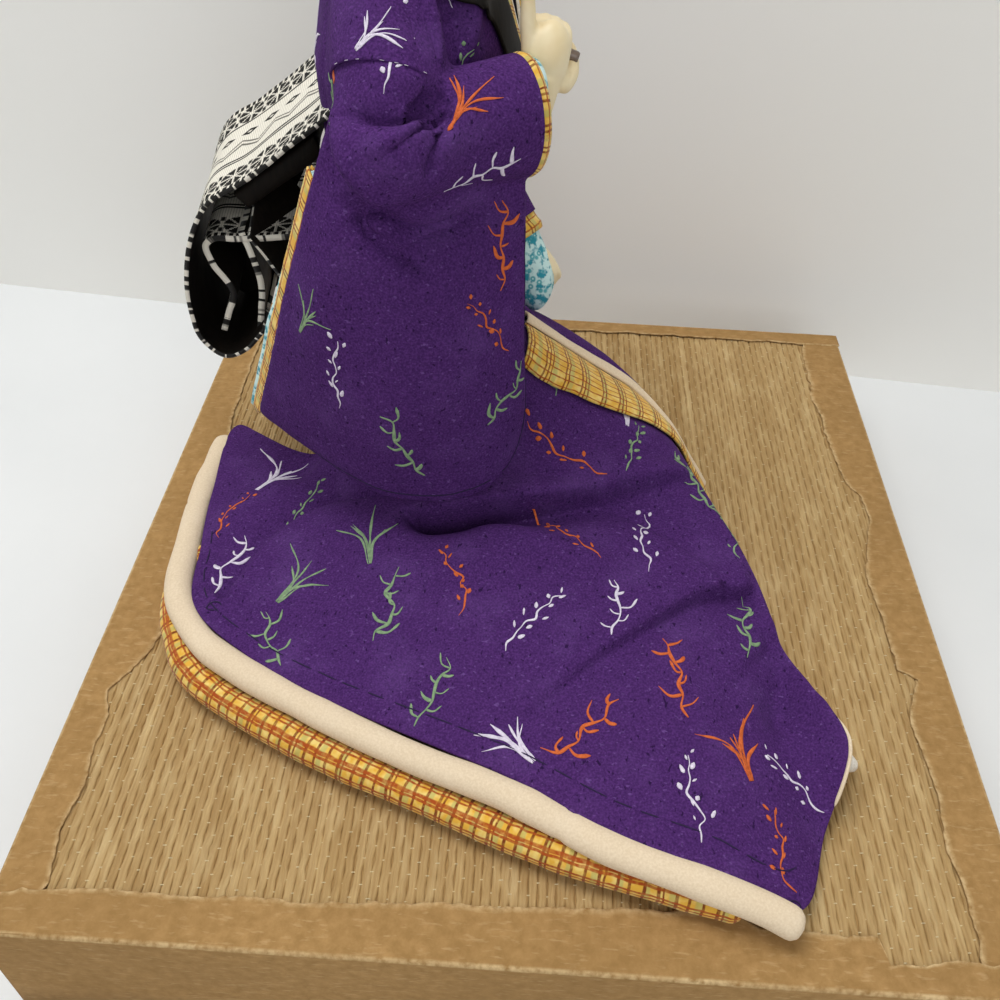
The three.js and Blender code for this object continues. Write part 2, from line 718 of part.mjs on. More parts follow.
// The clothed trunk with a gap round it, for cutting what hangs or leans against it
function dressedBody(gap) {
  const grid = liftGrid(bodyGrid(bodiceRows, bodySides), bodiceSurface + gap, true);
  const trunk = loft(bodiceRows.map((_, row) => grid.map((line) => line[row])));
  const sashRows = [obiBottom, waistHeight, (waistHeight + chestHeight) / 2, obiTop + clothGap];
  const wide = liftGrid(bodyGrid(sashRows, bodySides), bodiceSurface + obiThickness + 2 * clothGap, true);
  return join(trunk, loft(sashRows.map((_, row) => wide.map((line) => line[row]))));
}

const collarRoom = collarThickness + 2 * clothGap;

// The neckline, from where the fronts cross, over the right shoulder to the nape
const necklineHalf = [
  point(chestDepth / 2 + 4.8, 0, chestHeight - 3),
  point(chestDepth / 2 + 1, -12, chestHeight + 16),
  point(chestDepth / 2 - 8, -21, shoulderHeight - 5),
  point(neckX, -neckRadius - 17, shoulderHeight + 2),
  point(neckX - 17, -neckRadius - 9, shoulderHeight + 5.5),
  point(neckX - 23, 0, shoulderHeight + 7),
];
const neckline = new THREE.CatmullRomCurve3([
  ...necklineHalf,
  ...necklineHalf.slice(1, -1).reverse().map((place) => place.clone().multiply(point(1, -1, 1))),
], true);

// A collar band between two distances out from the neckline
function collarBand(near, far) {
  const sides = 28;
  const grid = Array.from({ length: sides }, (_, side) => {
    const place = neckline.getPoint(side / sides);
    const turn = Math.atan2(place.y, place.x - neckX);
    const lean = THREE.MathUtils.lerp(0.05, 0.8, THREE.MathUtils.smoothstep(Math.abs(turn), 0.1, 1.3));
    const out = point(Math.cos(turn) * lean, Math.sin(turn) * lean, -Math.sqrt(1 - lean ** 2));
    return [far, near].map((along) => place.clone().addScaledVector(out, along));
  });
  return sheet(grid, 0, collarThickness, true);
}

function makeBodice() {
  const wires = [rightSleeve, leftSleeve].map((sleeve) => armWire(armPath(sleeve), wireRadius + fitGap));
  addPiece(doll, 'kimono_bodice', cut(bodiceShape(clothGap, bodiceSurface), ...wires), 'purple');
  addPiece(doll, 'obi_band', obiShape(bodiceSurface + clothGap, bodiceSurface + clothGap + obiThickness), 'brocade');
  const bands = [
    ['collar_black', 0, collarWidth, 'black'],
    ['collar_plaid', -collarEdge, -clothGap, 'plaid'],
    ['collar_white', -2 * collarEdge, -collarEdge - clothGap, 'white'],
  ];
  const under = [bodiceShape(0, bodiceSurface + clothGap, clothGap), neckShape(fitGap)];
  for (const [name, near, far, finish] of bands) {
    addPiece(doll, name, cut(collarBand(near, far), ...under), finish);
  }
}

// The sash's drum bow at the back: a long loop, open at both sides, over a pillow and a folded tail
function bowSheet(profile, width, thickness) {
  const curve = new THREE.CatmullRomCurve3(profile.map(([x, z]) => point(x, 0, z)));
  const line = curve.getPoints(profile.length * 2);
  const columns = 5;
  const grid = Array.from({ length: columns }, (_, column) => {
    const share = column / (columns - 1);
    const y = (share - 0.5) * width + bowShift;
    const rise = (share * bowSplay) / 2 - Math.sin(share * Math.PI) * bowSag;
    return line.map((p) => point(p.x - share * bowSplay, y, p.z + rise));
  });
  return sheet(grid, -thickness / 2, thickness / 2);
}

function makeBow() {
  const keepOff = dressedBody(clothGap);
  const drum = (thickness) => bowSheet([
    [-23, 161], [-40, 147], [-56, 135], [-68, 127], [-76, 112], [-80, 92], [-78, 74], [-70, 67], [-61, 71], [-54, 79],
  ], bowWidth, thickness);
  const tail = bowSheet([
    [-29, 117], [-46, 114.5], [-58, 112.5], [-66, 111], [-70, 104], [-67, 92], [-69, 80],
  ], bowWidth - 5, bowThickness);
  const pillow = bowSheet([
    [-28, 146.5], [-43, 135.2], [-52, 128.8], [-60, 122.3],
  ], bowWidth - 2 * pillowInset, pillowThickness);
  addPiece(doll, 'obi_bow', cut(drum(bowThickness), keepOff), 'brocade');
  addPiece(doll, 'obi_tail', cut(tail, keepOff), 'brocade');
  addPiece(doll, 'obi_pillow', cut(pillow, keepOff, drum(bowThickness + 2 * clothGap)), 'padding');
}

// Skirt ribs, round the doll from the train's back corner: hem point, ridge point, and how far the
// cloth between ridge and waist stands up, from 0 (falls steeply off the waist) to 0.5 (straight)
const skirtRibs = [
  [[-81, 4, 10], [-44, -26, 15], 0.1],
  [[-81, -38, 11], [-46, -36, 17], 0.1],
  [[-77, -68, 13], [-44, -47, 19], 0.1],
  [[-70, -101, 16.5], [-37, -60, 23], 0.1],
  [[-47, -121, 17], [-20, -69, 29], 0.1],
  [[-21, -135, 17], [2, -73, 35], 0.1],
  [[12, -148.5, 17], [25, -74, 39], 0.15],
  [[43, -160.5, 17], [49, -74, 40], 0.15],
  [[74, -177, 17], [73, -75, 38], 0.2],
  [[101, -185, 15], [92, -78, 35], 0.2],
  [[126, -190.5, 8], [106, -85, 31], 0.25],
  [[138, -165, 5], [114, -91, 28], 0.25],
  [[147, -140, 15.5], [120, -91, 27], 0.25],
  [[140, -124, 14], [121, -82, 28], 0.3],
  [[132, -106, 9], [119, -72, 30], 0.35],
  [[126, -80, 3], [114, -60, 32], 0.4],
  [[122, -52, 3], [107, -44, 34], 0.45],
  [[117, -26, 3], [99, -26, 36], 0.5],
  [[111, -2, 3], [90, -8, 38], 0.5],
  [[89, 30, 3], [70, 16, 44], 0.5],
  [[46, 50, 3], [36, 38, 50], 0.5],
  [[2, 57, 3], [0, 50, 52], 0.5],
  [[-34, 46, 3], [-28, 41, 48], 0.5],
  [[-46, 14, 3], [-41, 12, 38], 0.5],
  [[-49, -17, 9], [-35, -19, 24], 0.4],
];

// Main folds of the skirt: a line on the floor plan, width, and height of the fold
const skirtFolds = [
  [[60, -106], [122, -76], 7, 3],
  [[66, -96], [124, -88], 6, -2.5],
  [[40, -74], [104, -44], 5, 2],
  [[128, -100], [124, -130], 7, -3],
  [[-60, -96], [-28, -64], 8, 2],
];

function foldHeight(x, y) {
  return skirtFolds.reduce((sum, [from, to, width, height]) => {
    const start = new THREE.Vector2(...from);
    const run = new THREE.Vector2(...to).sub(start);
    const off = new THREE.Vector2(x, y).sub(start);
    const share = THREE.MathUtils.clamp(off.dot(run) / run.lengthSq(), 0, 1);
    const away = off.addScaledVector(run, -share).length();
    return sum + height * Math.exp(-((away / width) ** 2));
  }, 0);
}

const skirtColumns = 50;
const skirtRows = 8;

// Middle of the skirt's cloth: round runs 0 to 1 over the ribs, up runs 0 at the hem to 1 at the waist
const skirtLevels = (() => {
  const outside = bodiceSurface + clothGap + skirtThickness / 2;
  const [depth, width] = bodySize(skirtTop);
  const levels = [[], [], [], [], []];
  for (const [hem, ridge, stand] of skirtRibs) {
    const low = point(...hem);
    const high = point(...ridge);
    const turn = Math.atan2(high.y / width, high.x / depth);
    const waist = bodyPoint(turn, skirtTop, outside);
    const upper = high.clone().lerp(waist, 0.55);
    upper.z = high.z + (skirtTop - high.z) * stand * 1.1;
    levels[0].push(low);
    levels[1].push(low.clone().lerp(high, 0.5));
    levels[2].push(high);
    levels[3].push(upper);
    levels[4].push(waist);
  }
  return levels.map((points) => new THREE.CatmullRomCurve3(points, true));
})();

function skirtPoint(round, up) {
  const rib = new THREE.CatmullRomCurve3(skirtLevels.map((level) => level.getPoint(round)));
  const place = rib.getPoint(up);
  const inside = Math.sin(Math.PI * THREE.MathUtils.clamp(up * 1.2, 0, 1));
  place.z = Math.max(place.z + inside * foldHeight(place.x, place.y), skirtThickness / 2 + paperThickness + fitGap);
  return place;
}

const creamHem = [
  [-85, -1, 6], [-86, -36, 7], [-83, -66, 9.5], [-77.5, -95, 13], [-64.5, -114, 14.2], [-50.5, -124, 14.2],
  [-26.5, -136.5, 14.2], [9, -152.5, 14.2], [42, -164.5, 14.2], [71.5, -179, 14.2], [96.5, -187, 13.4],
  [115, -192, 10.5], [126, -195.5, 7],
].map((place) => point(...place));
const plaidHem = [
  [-76, -66, 6.6], [-81, -84, 6.6], [-77, -103, 6.2], [-65, -122.5, 6.2], [-27, -144.5, 6.2],
  [15, -161.5, 6.2], [57, -177, 6.2], [98, -187, 6.6], [111, -190, 6.6],
].map((place) => point(...place));

function makeSkirt() {
  const cream = (outside) => bar(creamHem, hemRadius + outside, 26, 8);
  const plaid = (outside) => bar(plaidHem, underHemRadius + outside, 18, 8);
  const grid = Array.from({ length: skirtColumns }, (_, column) => (
    Array.from({ length: skirtRows }, (__, row) => skirtPoint(column / skirtColumns, row / (skirtRows - 1)))
  ));
  const cloth = sheet(grid, -skirtThickness / 2, skirtThickness / 2, true);
  addPiece(doll, 'kimono_skirt', cut(cloth, cream(clothGap), plaid(clothGap)), 'purple');
  addPiece(doll, 'kimono_hem', cream(0), 'cream');
  addPiece(doll, 'under_kimono_hem', cut(plaid(0), cream(clothGap)), 'plaid');
}

// The left front of the skirt, folded over the lap with a padded cream and plaid edge
const panelRound = [0.705, 0.83];
const panelUp = [0.2, 0.88];

function panelPoint(round, up, lift) {
  const step = 0.004;
  const place = skirtPoint(round, up);
  const along = skirtPoint(round + step, up).sub(skirtPoint(round - step, up));
  const across = skirtPoint(round, up + step).sub(skirtPoint(round, up - step));
  const normal = along.cross(across).normalize();
  if (normal.z < 0) normal.negate();
  return place.addScaledVector(normal, lift);
}

function makeFrontPanel() {
  const lift = skirtThickness / 2 + 3 * clothGap + panelLift / 2;
  const columns = 7;
  const rows = 6;
  const grid = Array.from({ length: columns }, (_, column) => (
    Array.from({ length: rows }, (__, row) => panelPoint(
      THREE.MathUtils.lerp(...panelRound, column / (columns - 1)),
      THREE.MathUtils.lerp(...panelUp, row / (rows - 1)),
      lift,
    ))
  ));
  addPiece(doll, 'front_panel', sheet(grid, -panelLift / 2, panelLift / 2), 'purple');
  const edge = (offset) => Array.from({ length: 9 }, (_, step) => panelPoint(
    panelRound[0] - offset,
    THREE.MathUtils.lerp(...panelUp, step / 8),
    skirtThickness / 2 + 3 * clothGap + edgingRadius,
  ));
  const panelTool = (outside) => sheet(grid, -panelLift / 2 - outside, panelLift / 2 + outside);
  const cream = (outside) => bar(edge(0.012), edgingRadius + outside, 12, 6);
  addPiece(doll, 'front_panel_edge', cut(cream(0), panelTool(clothGap)), 'cream');
  const plaid = bar(edge(0.03), edgingRadius, 12, 6);
  addPiece(doll, 'front_panel_plaid', cut(plaid, cream(clothGap), panelTool(clothGap)), 'plaid');
}

// Sleeves: a short tube to the elbow, a forearm tube and the bag that hangs from it
function sleeveTubes(sleeve, outside, openAhead) {
  const forearm = sleeve.wrist.clone().sub(sleeve.elbow).normalize();
  const mouth = sleeve.wrist.clone().addScaledVector(forearm, openAhead);
  const upper = limb(
    [sleeve.shoulder, sleeve.shoulder.clone().lerp(sleeve.elbow, 0.5), sleeve.elbow],
    sleeve.girth.slice(0, 2).map((radius) => radius + outside),
    3,
    10,
  );
  const lower = limb(
    [sleeve.elbow, sleeve.elbow.clone().lerp(mouth, 0.5), mouth],
    sleeve.girth.slice(1).map((radius) => radius + outside),
    3,
    10,
    mouthFlat,
  );
  const bend = egg(sleeve.elbow, point(1, 1, 1).multiplyScalar(sleeve.girth[1] + outside), 10, 6);
  return join(upper, lower, bend);
}

function bagGrid(sleeve, rows, columns) {
  const top = new THREE.CatmullRomCurve3(sleeve.bagTop);
  const bottom = new THREE.CatmullRomCurve3(sleeve.bagBottom);
  return Array.from({ length: columns }, (_, column) => {
    const share = column / (columns - 1);
    const high = top.getPoint(share);
    const low = bottom.getPoint(share);
    return Array.from({ length: rows }, (__, row) => {
      const down = row / (rows - 1);
      const place = high.clone().lerp(low, down);
      const belly = Math.sin(down * Math.PI) * 2;
      return place.add(point(0, Math.sign(low.y) * belly, 0));
    });
  });
}

// Strip of lining that shows beyond the open edge of the sleeve bag
function liningStrip(grid, from, width) {
  const strip = [0, 1].map((step) => grid[0].map((edge, row) => {
    const out = edge.clone().sub(grid[1][row]).normalize();
    return edge.clone().addScaledVector(out, from + step * width);
  }));
  return sheet(strip, -liningThickness / 2, liningThickness / 2);
}

function cuffRing(sleeve, inset, reach) {
  const forearm = sleeve.wrist.clone().sub(sleeve.elbow).normalize();
  const back = sleeve.wrist.clone().addScaledVector(forearm, -9);
  const front = sleeve.wrist.clone().addScaledVector(forearm, reach);
  const ring = (radius, from, to) => limb(
    [from, from.clone().lerp(to, 0.5), to],
    [radius, radius],
    1,
    10,
    mouthFlat,
  );
  const outer = sleeve.girth[2] - inset;
  const ahead = front.clone().addScaledVector(forearm, 2);
  const behind = back.clone().addScaledVector(forearm, -2);
  return cut(ring(outer, back, front), ring(outer - liningThickness, behind, ahead));
}

function makeSleeve(side, sleeve, edged) {
  const grid = bagGrid(sleeve, 6, 9);
  const keepOff = dressedBody(collarRoom);
  const room = handRoom(sleeve);
  const whole = join(sleeveTubes(sleeve, 0, 0), sheet(grid, -bagThickness / 2, bagThickness / 2));
  const hollow = sleeveTubes(sleeve, -sleeveThickness, 6);
  addPiece(doll, `${side}_sleeve`, cut(whole, hollow, keepOff, room), 'purple');
  const plaidInset = sleeveThickness + clothGap;
  const tealInset = plaidInset + liningThickness + clothGap;
  addPiece(doll, `${side}_cuff_plaid`, cut(cuffRing(sleeve, plaidInset, 1.6), room, keepOff), 'plaid');
  addPiece(doll, `${side}_cuff_teal`, cut(cuffRing(sleeve, tealInset, 3), room, keepOff), 'teal');
  if (!edged) return;
  addPiece(doll, `${side}_sleeve_plaid`, cut(liningStrip(grid, clothGap, liningWidth), keepOff), 'plaid');
  const beyond = liningWidth + 2 * clothGap;
  addPiece(doll, `${side}_sleeve_teal`, cut(liningStrip(grid, beyond, liningWidth * 0.7), keepOff), 'teal');
}

makeBase();
makePaper();
makeScrews();
makeBody();
makeLegs();
makeHands();
makeHead();
makeHair();
makeBodice();
makeBow();
makeSkirt();
makeFrontPanel();
makeSleeve('right', rightSleeve, true);
makeSleeve('left', leftSleeve, false);

export default model;
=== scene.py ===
import math

import bmesh
import bpy
import numpy as np
from mathutils import Matrix, Vector
from mathutils.bvhtree import BVHTree


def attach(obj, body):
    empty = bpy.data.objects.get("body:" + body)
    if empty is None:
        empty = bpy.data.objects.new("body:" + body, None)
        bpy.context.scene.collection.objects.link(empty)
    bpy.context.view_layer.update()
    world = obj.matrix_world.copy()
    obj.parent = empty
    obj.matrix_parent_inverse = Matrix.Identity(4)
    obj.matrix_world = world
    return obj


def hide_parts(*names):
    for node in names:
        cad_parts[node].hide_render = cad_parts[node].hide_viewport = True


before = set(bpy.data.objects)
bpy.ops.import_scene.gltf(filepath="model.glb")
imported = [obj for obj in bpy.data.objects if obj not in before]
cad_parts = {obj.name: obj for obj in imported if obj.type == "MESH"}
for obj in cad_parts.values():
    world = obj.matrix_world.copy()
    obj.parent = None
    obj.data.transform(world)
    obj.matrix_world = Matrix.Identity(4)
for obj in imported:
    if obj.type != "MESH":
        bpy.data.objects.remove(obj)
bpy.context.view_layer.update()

mm = 0.001
seat = np.array((-45.0, 48.0, 50.0))  # the doll's own origin on the mat, in mm
doll = "doll_and_base"
print("frame loaded")


# curves and grids, worked in the doll's own mm

def evenShares(count):
    return np.linspace(0, 1, count)


def curveThrough(four, share):
    a, b, c, d = four
    gaps = [np.maximum(np.linalg.norm(q - p, axis=-1, keepdims=True), 1e-6) ** 0.5
            for p, q in ((a, b), (b, c), (c, d))]
    first = ((b - a) / gaps[0] - (c - a) / (gaps[0] + gaps[1]) + (c - b) / gaps[1]) * gaps[1]
    last = ((c - b) / gaps[1] - (d - b) / (gaps[1] + gaps[2]) + (d - c) / gaps[2]) * gaps[1]
    return b + share * (first + share * (-3 * b + 3 * c - 2 * first - last
                                         + share * (2 * b - 2 * c + first + last)))


def smoothLine(points, shares, closed=False):
    points = np.asarray(points, float)
    count = len(points)
    shares = np.atleast_1d(np.asarray(shares, float))
    spans = (shares % 1.0) * count if closed else np.clip(shares, 0, 1) * (count - 1)
    start = np.floor(spans).astype(int)
    if closed:
        four = [points[(start + step) % count] for step in (-1, 0, 1, 2)]
    else:
        start = np.minimum(start, count - 2)
        longer = np.vstack([2 * points[0] - points[1], points, 2 * points[-1] - points[-2]])
        four = [longer[start + step] for step in range(4)]
    return curveThrough(four, (spans - start)[:, None])


def runAlong(line):
    # length walked from the first point to each point
    return np.concatenate([[0], np.cumsum(np.linalg.norm(np.diff(line, axis=0), axis=1))])


def evenLine(points, step):
    fine = smoothLine(points, evenShares(60 * len(points)))
    run = runAlong(fine)
    count = max(int(round(run[-1] / step)), 2) + 1
    want = np.linspace(0, run[-1], count)
    return np.stack([np.interp(want, run, fine[:, axis]) for axis in range(3)], axis=1)


def smoothStep(value, low, high):
    share = np.clip((value - low) / (high - low), 0, 1)
    return share * share * (3 - 2 * share)


def unit(vectors):
    return vectors / np.maximum(np.linalg.norm(vectors, axis=-1, keepdims=True), 1e-9)


def gridFaces(rows, columns, closeRows=False, closeColumns=False):
    faces = []
    for row in range(rows if closeRows else rows - 1):
        for column in range(columns if closeColumns else columns - 1):
            nextRow, nextColumn = (row + 1) % rows, (column + 1) % columns
            faces.append((row * columns + column, row * columns + nextColumn,
                          nextRow * columns + nextColumn, nextRow * columns + column))
    return faces


def gridNormals(grid, closeRows=False):
    if closeRows:
        along = np.roll(grid, -1, 0) - np.roll(grid, 1, 0)
    else:
        along = np.gradient(grid, axis=0)
    return unit(np.cross(np.gradient(grid, axis=1), along))


# meshes

def toWorld(place):
    return Vector((np.asarray(place, float) + seat) * mm)


def toDoll(spot):
    return np.array(spot) / mm - seat


def addMesh(name, points, faces, finish, body=doll, inDoll=True, flat=False):
    points = np.asarray(points, float).reshape(-1, 3)
    points = (points + seat if inDoll else points) * mm
    mesh = bpy.data.meshes.new(name)
    mesh.from_pydata(points.tolist(), [], [tuple(int(i) for i in face) for face in faces])
    mesh.validate()
    mesh.polygons.foreach_set("use_smooth", [not flat] * len(mesh.polygons))
    obj = bpy.data.objects.new(name, mesh)
    bpy.context.scene.collection.objects.link(obj)
    if finish is not None:
        mesh.materials.append(finish)
    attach(obj, body)
    return obj


def pointOut(obj):
    work = bmesh.new()
    work.from_mesh(obj.data)
    bmesh.ops.recalc_face_normals(work, faces=work.faces)
    work.to_mesh(obj.data)
    work.free()


def setWeave(obj, across, along):
    layer = obj.data.uv_layers.new(name="weave")  # cloth lengths in metres
    loops = np.empty(len(obj.data.loops), int)
    obj.data.loops.foreach_get("vertex_index", loops)
    flat = np.stack([np.ravel(across)[loops], np.ravel(along)[loops]], axis=1) * mm
    layer.data.foreach_set("uv", flat.ravel())


def setTone(obj, name, values):
    tone = obj.data.attributes.new(name, "FLOAT", "POINT")
    tone.data.foreach_set("value", np.ravel(values).astype(np.float32))


def bakeShape(obj):
    depsgraph = bpy.context.evaluated_depsgraph_get()
    made = bpy.data.meshes.new_from_object(obj.evaluated_get(depsgraph))
    obj.modifiers.clear()
    obj.data = made


def thicken(obj, thick, offset=-1.0):
    shell = obj.modifiers.new("thickness", "SOLIDIFY")
    shell.thickness = thick * mm
    shell.offset = offset
    shell.use_even_offset = False
    return obj


def gridNap(grid):
    rowRun = np.linalg.norm(np.diff(grid, axis=0), axis=2)
    columnRun = np.linalg.norm(np.diff(grid, axis=1), axis=2)
    down = np.concatenate([np.zeros((1, grid.shape[1])), np.cumsum(rowRun, axis=0)])
    over = np.concatenate([np.zeros((grid.shape[0], 1)), np.cumsum(columnRun, axis=1)], axis=1)
    return over, down


def setNap(obj, *grids):
    naps = [gridNap(grid) for grid in grids]
    setWeave(obj, *(np.concatenate([nap[way].ravel() for nap in naps]) for way in (0, 1)))


def clothFromGrid(name, grid, finish, thick, closeRows=False, offset=-1.0):
    rows, columns = grid.shape[:2]
    obj = addMesh(name, grid, gridFaces(rows, columns, closeRows), finish)
    setNap(obj, grid)
    thicken(obj, thick, offset)
    return obj


def ringPath(path, radii, sides, squash=(1.0, 1.0), lean=(0, 0, 1), caps=True, start=0.0):
    path = np.asarray(path, float)
    ahead = unit(np.gradient(path, axis=0))
    side = unit(np.cross(ahead, np.asarray(lean, float)))
    rise = np.cross(side, ahead)
    turn = start + np.linspace(0, 2 * math.pi, sides, endpoint=False)
    radii = np.broadcast_to(np.asarray(radii, float).reshape(-1, 1), (len(path), 1))
    wide, tall = (radii * np.asarray(part, float).reshape(-1, 1) for part in squash)
    rings = (path[:, None] + side[:, None] * (np.cos(turn) * wide)[..., None]
             + rise[:, None] * (np.sin(turn) * tall)[..., None])
    faces = gridFaces(len(path), sides, closeColumns=True)
    if caps:
        faces.append(tuple(range(sides)))
        faces.append(tuple(range(len(path) * sides - 1, (len(path) - 1) * sides - 1, -1)))
    return rings.reshape(-1, 3), faces


def roundEnds(path, radius, ease):
    run = runAlong(path)
    near = np.minimum(run, run[-1] - run)
    return radius * np.sqrt(np.clip(1 - (1 - np.minimum(near / ease, 1)) ** 2, 0.02, 1))


def joinShells(shells):
    points, faces, start = [], [], 0
    for shellPoints, shellFaces in shells:
        shellPoints = np.asarray(shellPoints, float).reshape(-1, 3)
        points.append(shellPoints)
        faces += [tuple(int(i) + start for i in face) for face in shellFaces]
        start += len(shellPoints)
    return np.concatenate(points), faces


def eggShell(middle, radii, columns=28, rows=18):
    turn = np.linspace(0, 2 * math.pi, columns, endpoint=False)
    fall = np.linspace(0, math.pi, rows)[1:-1]
    grid = np.stack([np.outer(np.sin(fall), np.cos(turn)), np.outer(np.sin(fall), np.sin(turn)),
                     np.outer(np.cos(fall), np.ones(columns))], axis=-1)
    points = np.concatenate([grid.reshape(-1, 3), [[0, 0, 1], [0, 0, -1]]]) * radii + middle
    faces = [face[::-1] for face in gridFaces(rows - 2, columns, closeColumns=True)]
    top, last = len(points) - 2, (rows - 3) * columns
    for column in range(columns):
        after = (column + 1) % columns
        faces.append((column, after, top))
        faces.append((last + after, last + column, top + 1))
    return points, faces


def fuseSurface(obj, voxel, ease, finish):
    fuse = obj.modifiers.new("fuse", "REMESH")
    fuse.mode = "VOXEL"
    fuse.voxel_size = voxel * mm
    fuse.use_smooth_shade = True
    soften = obj.modifiers.new("soften", "SMOOTH")
    soften.factor = 0.5
    soften.iterations = ease
    bakeShape(obj)
    obj.data.materials.clear()
    obj.data.materials.append(finish)


def fuseShells(name, shells, voxel, ease, finish, body=doll):
    points, faces = joinShells(shells)
    obj = addMesh(name, points, faces, None, body)
    pointOut(obj)
    fuseSurface(obj, voxel, ease, finish)
    return obj


def vertexPlaces(obj):
    places = np.empty(len(obj.data.vertices) * 3)
    obj.data.vertices.foreach_get("co", places)
    return places.reshape(-1, 3) / mm - seat


def vertexNormals(obj):
    normals = np.empty(len(obj.data.vertices) * 3)
    obj.data.vertex_normals.foreach_get("vector", normals)
    return normals.reshape(-1, 3)


def movePlaces(obj, places):
    obj.data.vertices.foreach_set("co", ((places + seat) * mm).ravel())
    obj.data.update()


def nearestOnLine(places, line):
    best = np.full(len(places), 1e9)
    near = np.zeros_like(places)
    for start, end in zip(line[:-1], line[1:]):
        run = end - start
        share = np.clip(((places - start) @ run) / max(run @ run, 1e-9), 0, 1)
        foot = start + share[:, None] * run
        away = np.linalg.norm(places - foot, axis=1)
        closer = away < best
        best[closer] = away[closer]
        near[closer] = foot[closer]
    return near


foldDepth = 14.0  # cloth farther than this behind a fold's line isn't pressed, in mm


def pressFolds(obj, folds):
    # each fold: points along it, width and height; a minus height is a crease
    for line, width, height in folds:
        places, normals = vertexPlaces(obj), vertexNormals(obj)
        path = evenLine(line, 2.0) if len(line) > 2 else np.asarray(line, float)
        near = nearestOnLine(places, path)
        off = places - near
        depth = np.sum(off * normals, axis=1)
        away = np.linalg.norm(off - depth[:, None] * normals, axis=1)
        fade = 0.15 + 0.85 * smoothStep(np.linalg.norm(near - path[-1], axis=1), 0, 3 * width)
        fade *= 0.4 + 0.6 * smoothStep(np.linalg.norm(near - path[0], axis=1), 0, width)
        # creases are sharp, swells are round
        shape = np.exp(-(away / width) ** 2) if height > 0 else np.exp(-away / width)
        push = height * shape * fade * (np.abs(depth) < foldDepth) * (away < 5 * width)
        movePlaces(obj, places + normals * push[:, None])


# node helpers for the finishes

def shade(text):
    parts = [int(text[at:at + 2], 16) / 255 for at in (1, 3, 5)]
    return tuple(((p + 0.055) / 1.055) ** 2.4 if p > 0.04 else p / 12.92 for p in parts) + (1.0,)


def addNode(tree, kind, values=None, out=0, **options):
    made = tree.nodes.new("ShaderNode" + kind)
    for key, value in options.items():
        setattr(made, key, value)
    for key, value in (values or {}).items():
        if isinstance(value, bpy.types.NodeSocket):
            tree.links.new(value, made.inputs[key])
        else:
            made.inputs[key].default_value = value
    return made.outputs[out]


def sums(tree, operation, a, b=0.0):
    return addNode(tree, "Math", {0: a, 1: b}, operation=operation)


def between(tree, value, low, high, start=0.0, end=1.0):
    return addNode(tree, "MapRange", {"Value": value, "From Min": low, "From Max": high,
                                      "To Min": start, "To Max": end})


def mixShade(tree, share, a, b):
    a, b = (shade(part) if isinstance(part, str) else part for part in (a, b))
    return addNode(tree, "Mix", {0: share, 6: a, 7: b}, out=2, data_type="RGBA")


def tint(tree, under, over, mask, *limits):
    return mixShade(tree, between(tree, mask, *limits), under, over)


def grain(tree, scale, detail, stretch=None, rough=0.5, where=None):
    where = where or addNode(tree, "TexCoord", out="Object")
    if stretch:
        where = addNode(tree, "Mapping", {"Vector": where, "Scale": stretch})
    return addNode(tree, "TexNoise", {"Vector": where, "Scale": scale, "Detail": detail, "Roughness": rough})


def startFinish(name, roughness, sheen=0.0, specular=0.5, coat=0.0, metal=0.0):
    finish = bpy.data.materials.new(name)
    finish.use_nodes = True
    shader = finish.node_tree.nodes["Principled BSDF"]
    for key, value in (("Roughness", roughness), ("Sheen Weight", sheen), ("Coat Weight", coat),
                       ("Specular IOR Level", specular), ("Metallic", metal)):
        shader.inputs[key].default_value = value
    return finish, finish.node_tree, shader


def wire(tree, shader, colour, bump=None, depth=0.2, strength=1.0):
    tree.links.new(colour, shader.inputs["Base Color"])
    if bump is not None:
        normal = addNode(tree, "Bump", {"Height": bump, "Distance": depth * mm, "Strength": strength})
        tree.links.new(normal, shader.inputs["Normal"])


def twoTone(name, tones, roughness, scale, detail, limits, bump, stretch=None, **shine):
    # two tones mixed by one grain, which also makes the bumps
    finish, tree, shader = startFinish(name, roughness, **shine)
    fine = grain(tree, scale, detail, stretch=stretch)
    wire(tree, shader, mixShade(tree, between(tree, fine, *limits), *tones), fine, *bump)
    return finish


def crepe(name, cloth, dark, pale, flecks=0.0, sheen=0.0, bump=0.7):
    finish, tree, shader = startFinish(name, 0.9, sheen, 0.06)
    pebble = grain(tree, 1500, 3)
    cloud = grain(tree, 60, 3)
    colour = tint(tree, dark, cloth, pebble, 0.35, 0.68)
    colour = tint(tree, colour, pale, cloud, 0.5, 0.85, 0, 0.22)
    if flecks:
        slub = grain(tree, 720, 2, stretch=(1, 0.6, 0.8))
        colour = tint(tree, colour, "#241338", slub, 0.65, 0.71, 0, flecks)
        lint = grain(tree, 900, 2, stretch=(0.7, 1, 1))
        colour = tint(tree, colour, pale, lint, 0.64, 0.74, 0, 0.45)
    height = sums(tree, "ADD", pebble, sums(tree, "MULTIPLY", grain(tree, 420, 2), 0.8))
    wire(tree, shader, colour, height, 0.14, bump)
    return finish


def stripes(tree, along, period, marks):
    turn = sums(tree, "FRACT", sums(tree, "DIVIDE", along, period * mm))
    mask = None
    for offset, half in marks:
        away = sums(tree, "ABSOLUTE", sums(tree, "SUBTRACT", turn, offset / period))
        line = between(tree, away, half / period * 0.7, half / period * 1.25, 1, 0)
        mask = line if mask is None else sums(tree, "MAXIMUM", mask, line)
    return mask


def weavePlaces(tree):
    # the cloth's own map, and the lengths across and along it in metres
    weave = addNode(tree, "UVMap", uv_map="weave")
    split = tree.nodes.new("ShaderNodeSeparateXYZ")
    tree.links.new(weave, split.inputs[0])
    return weave, split.outputs[0], split.outputs[1]


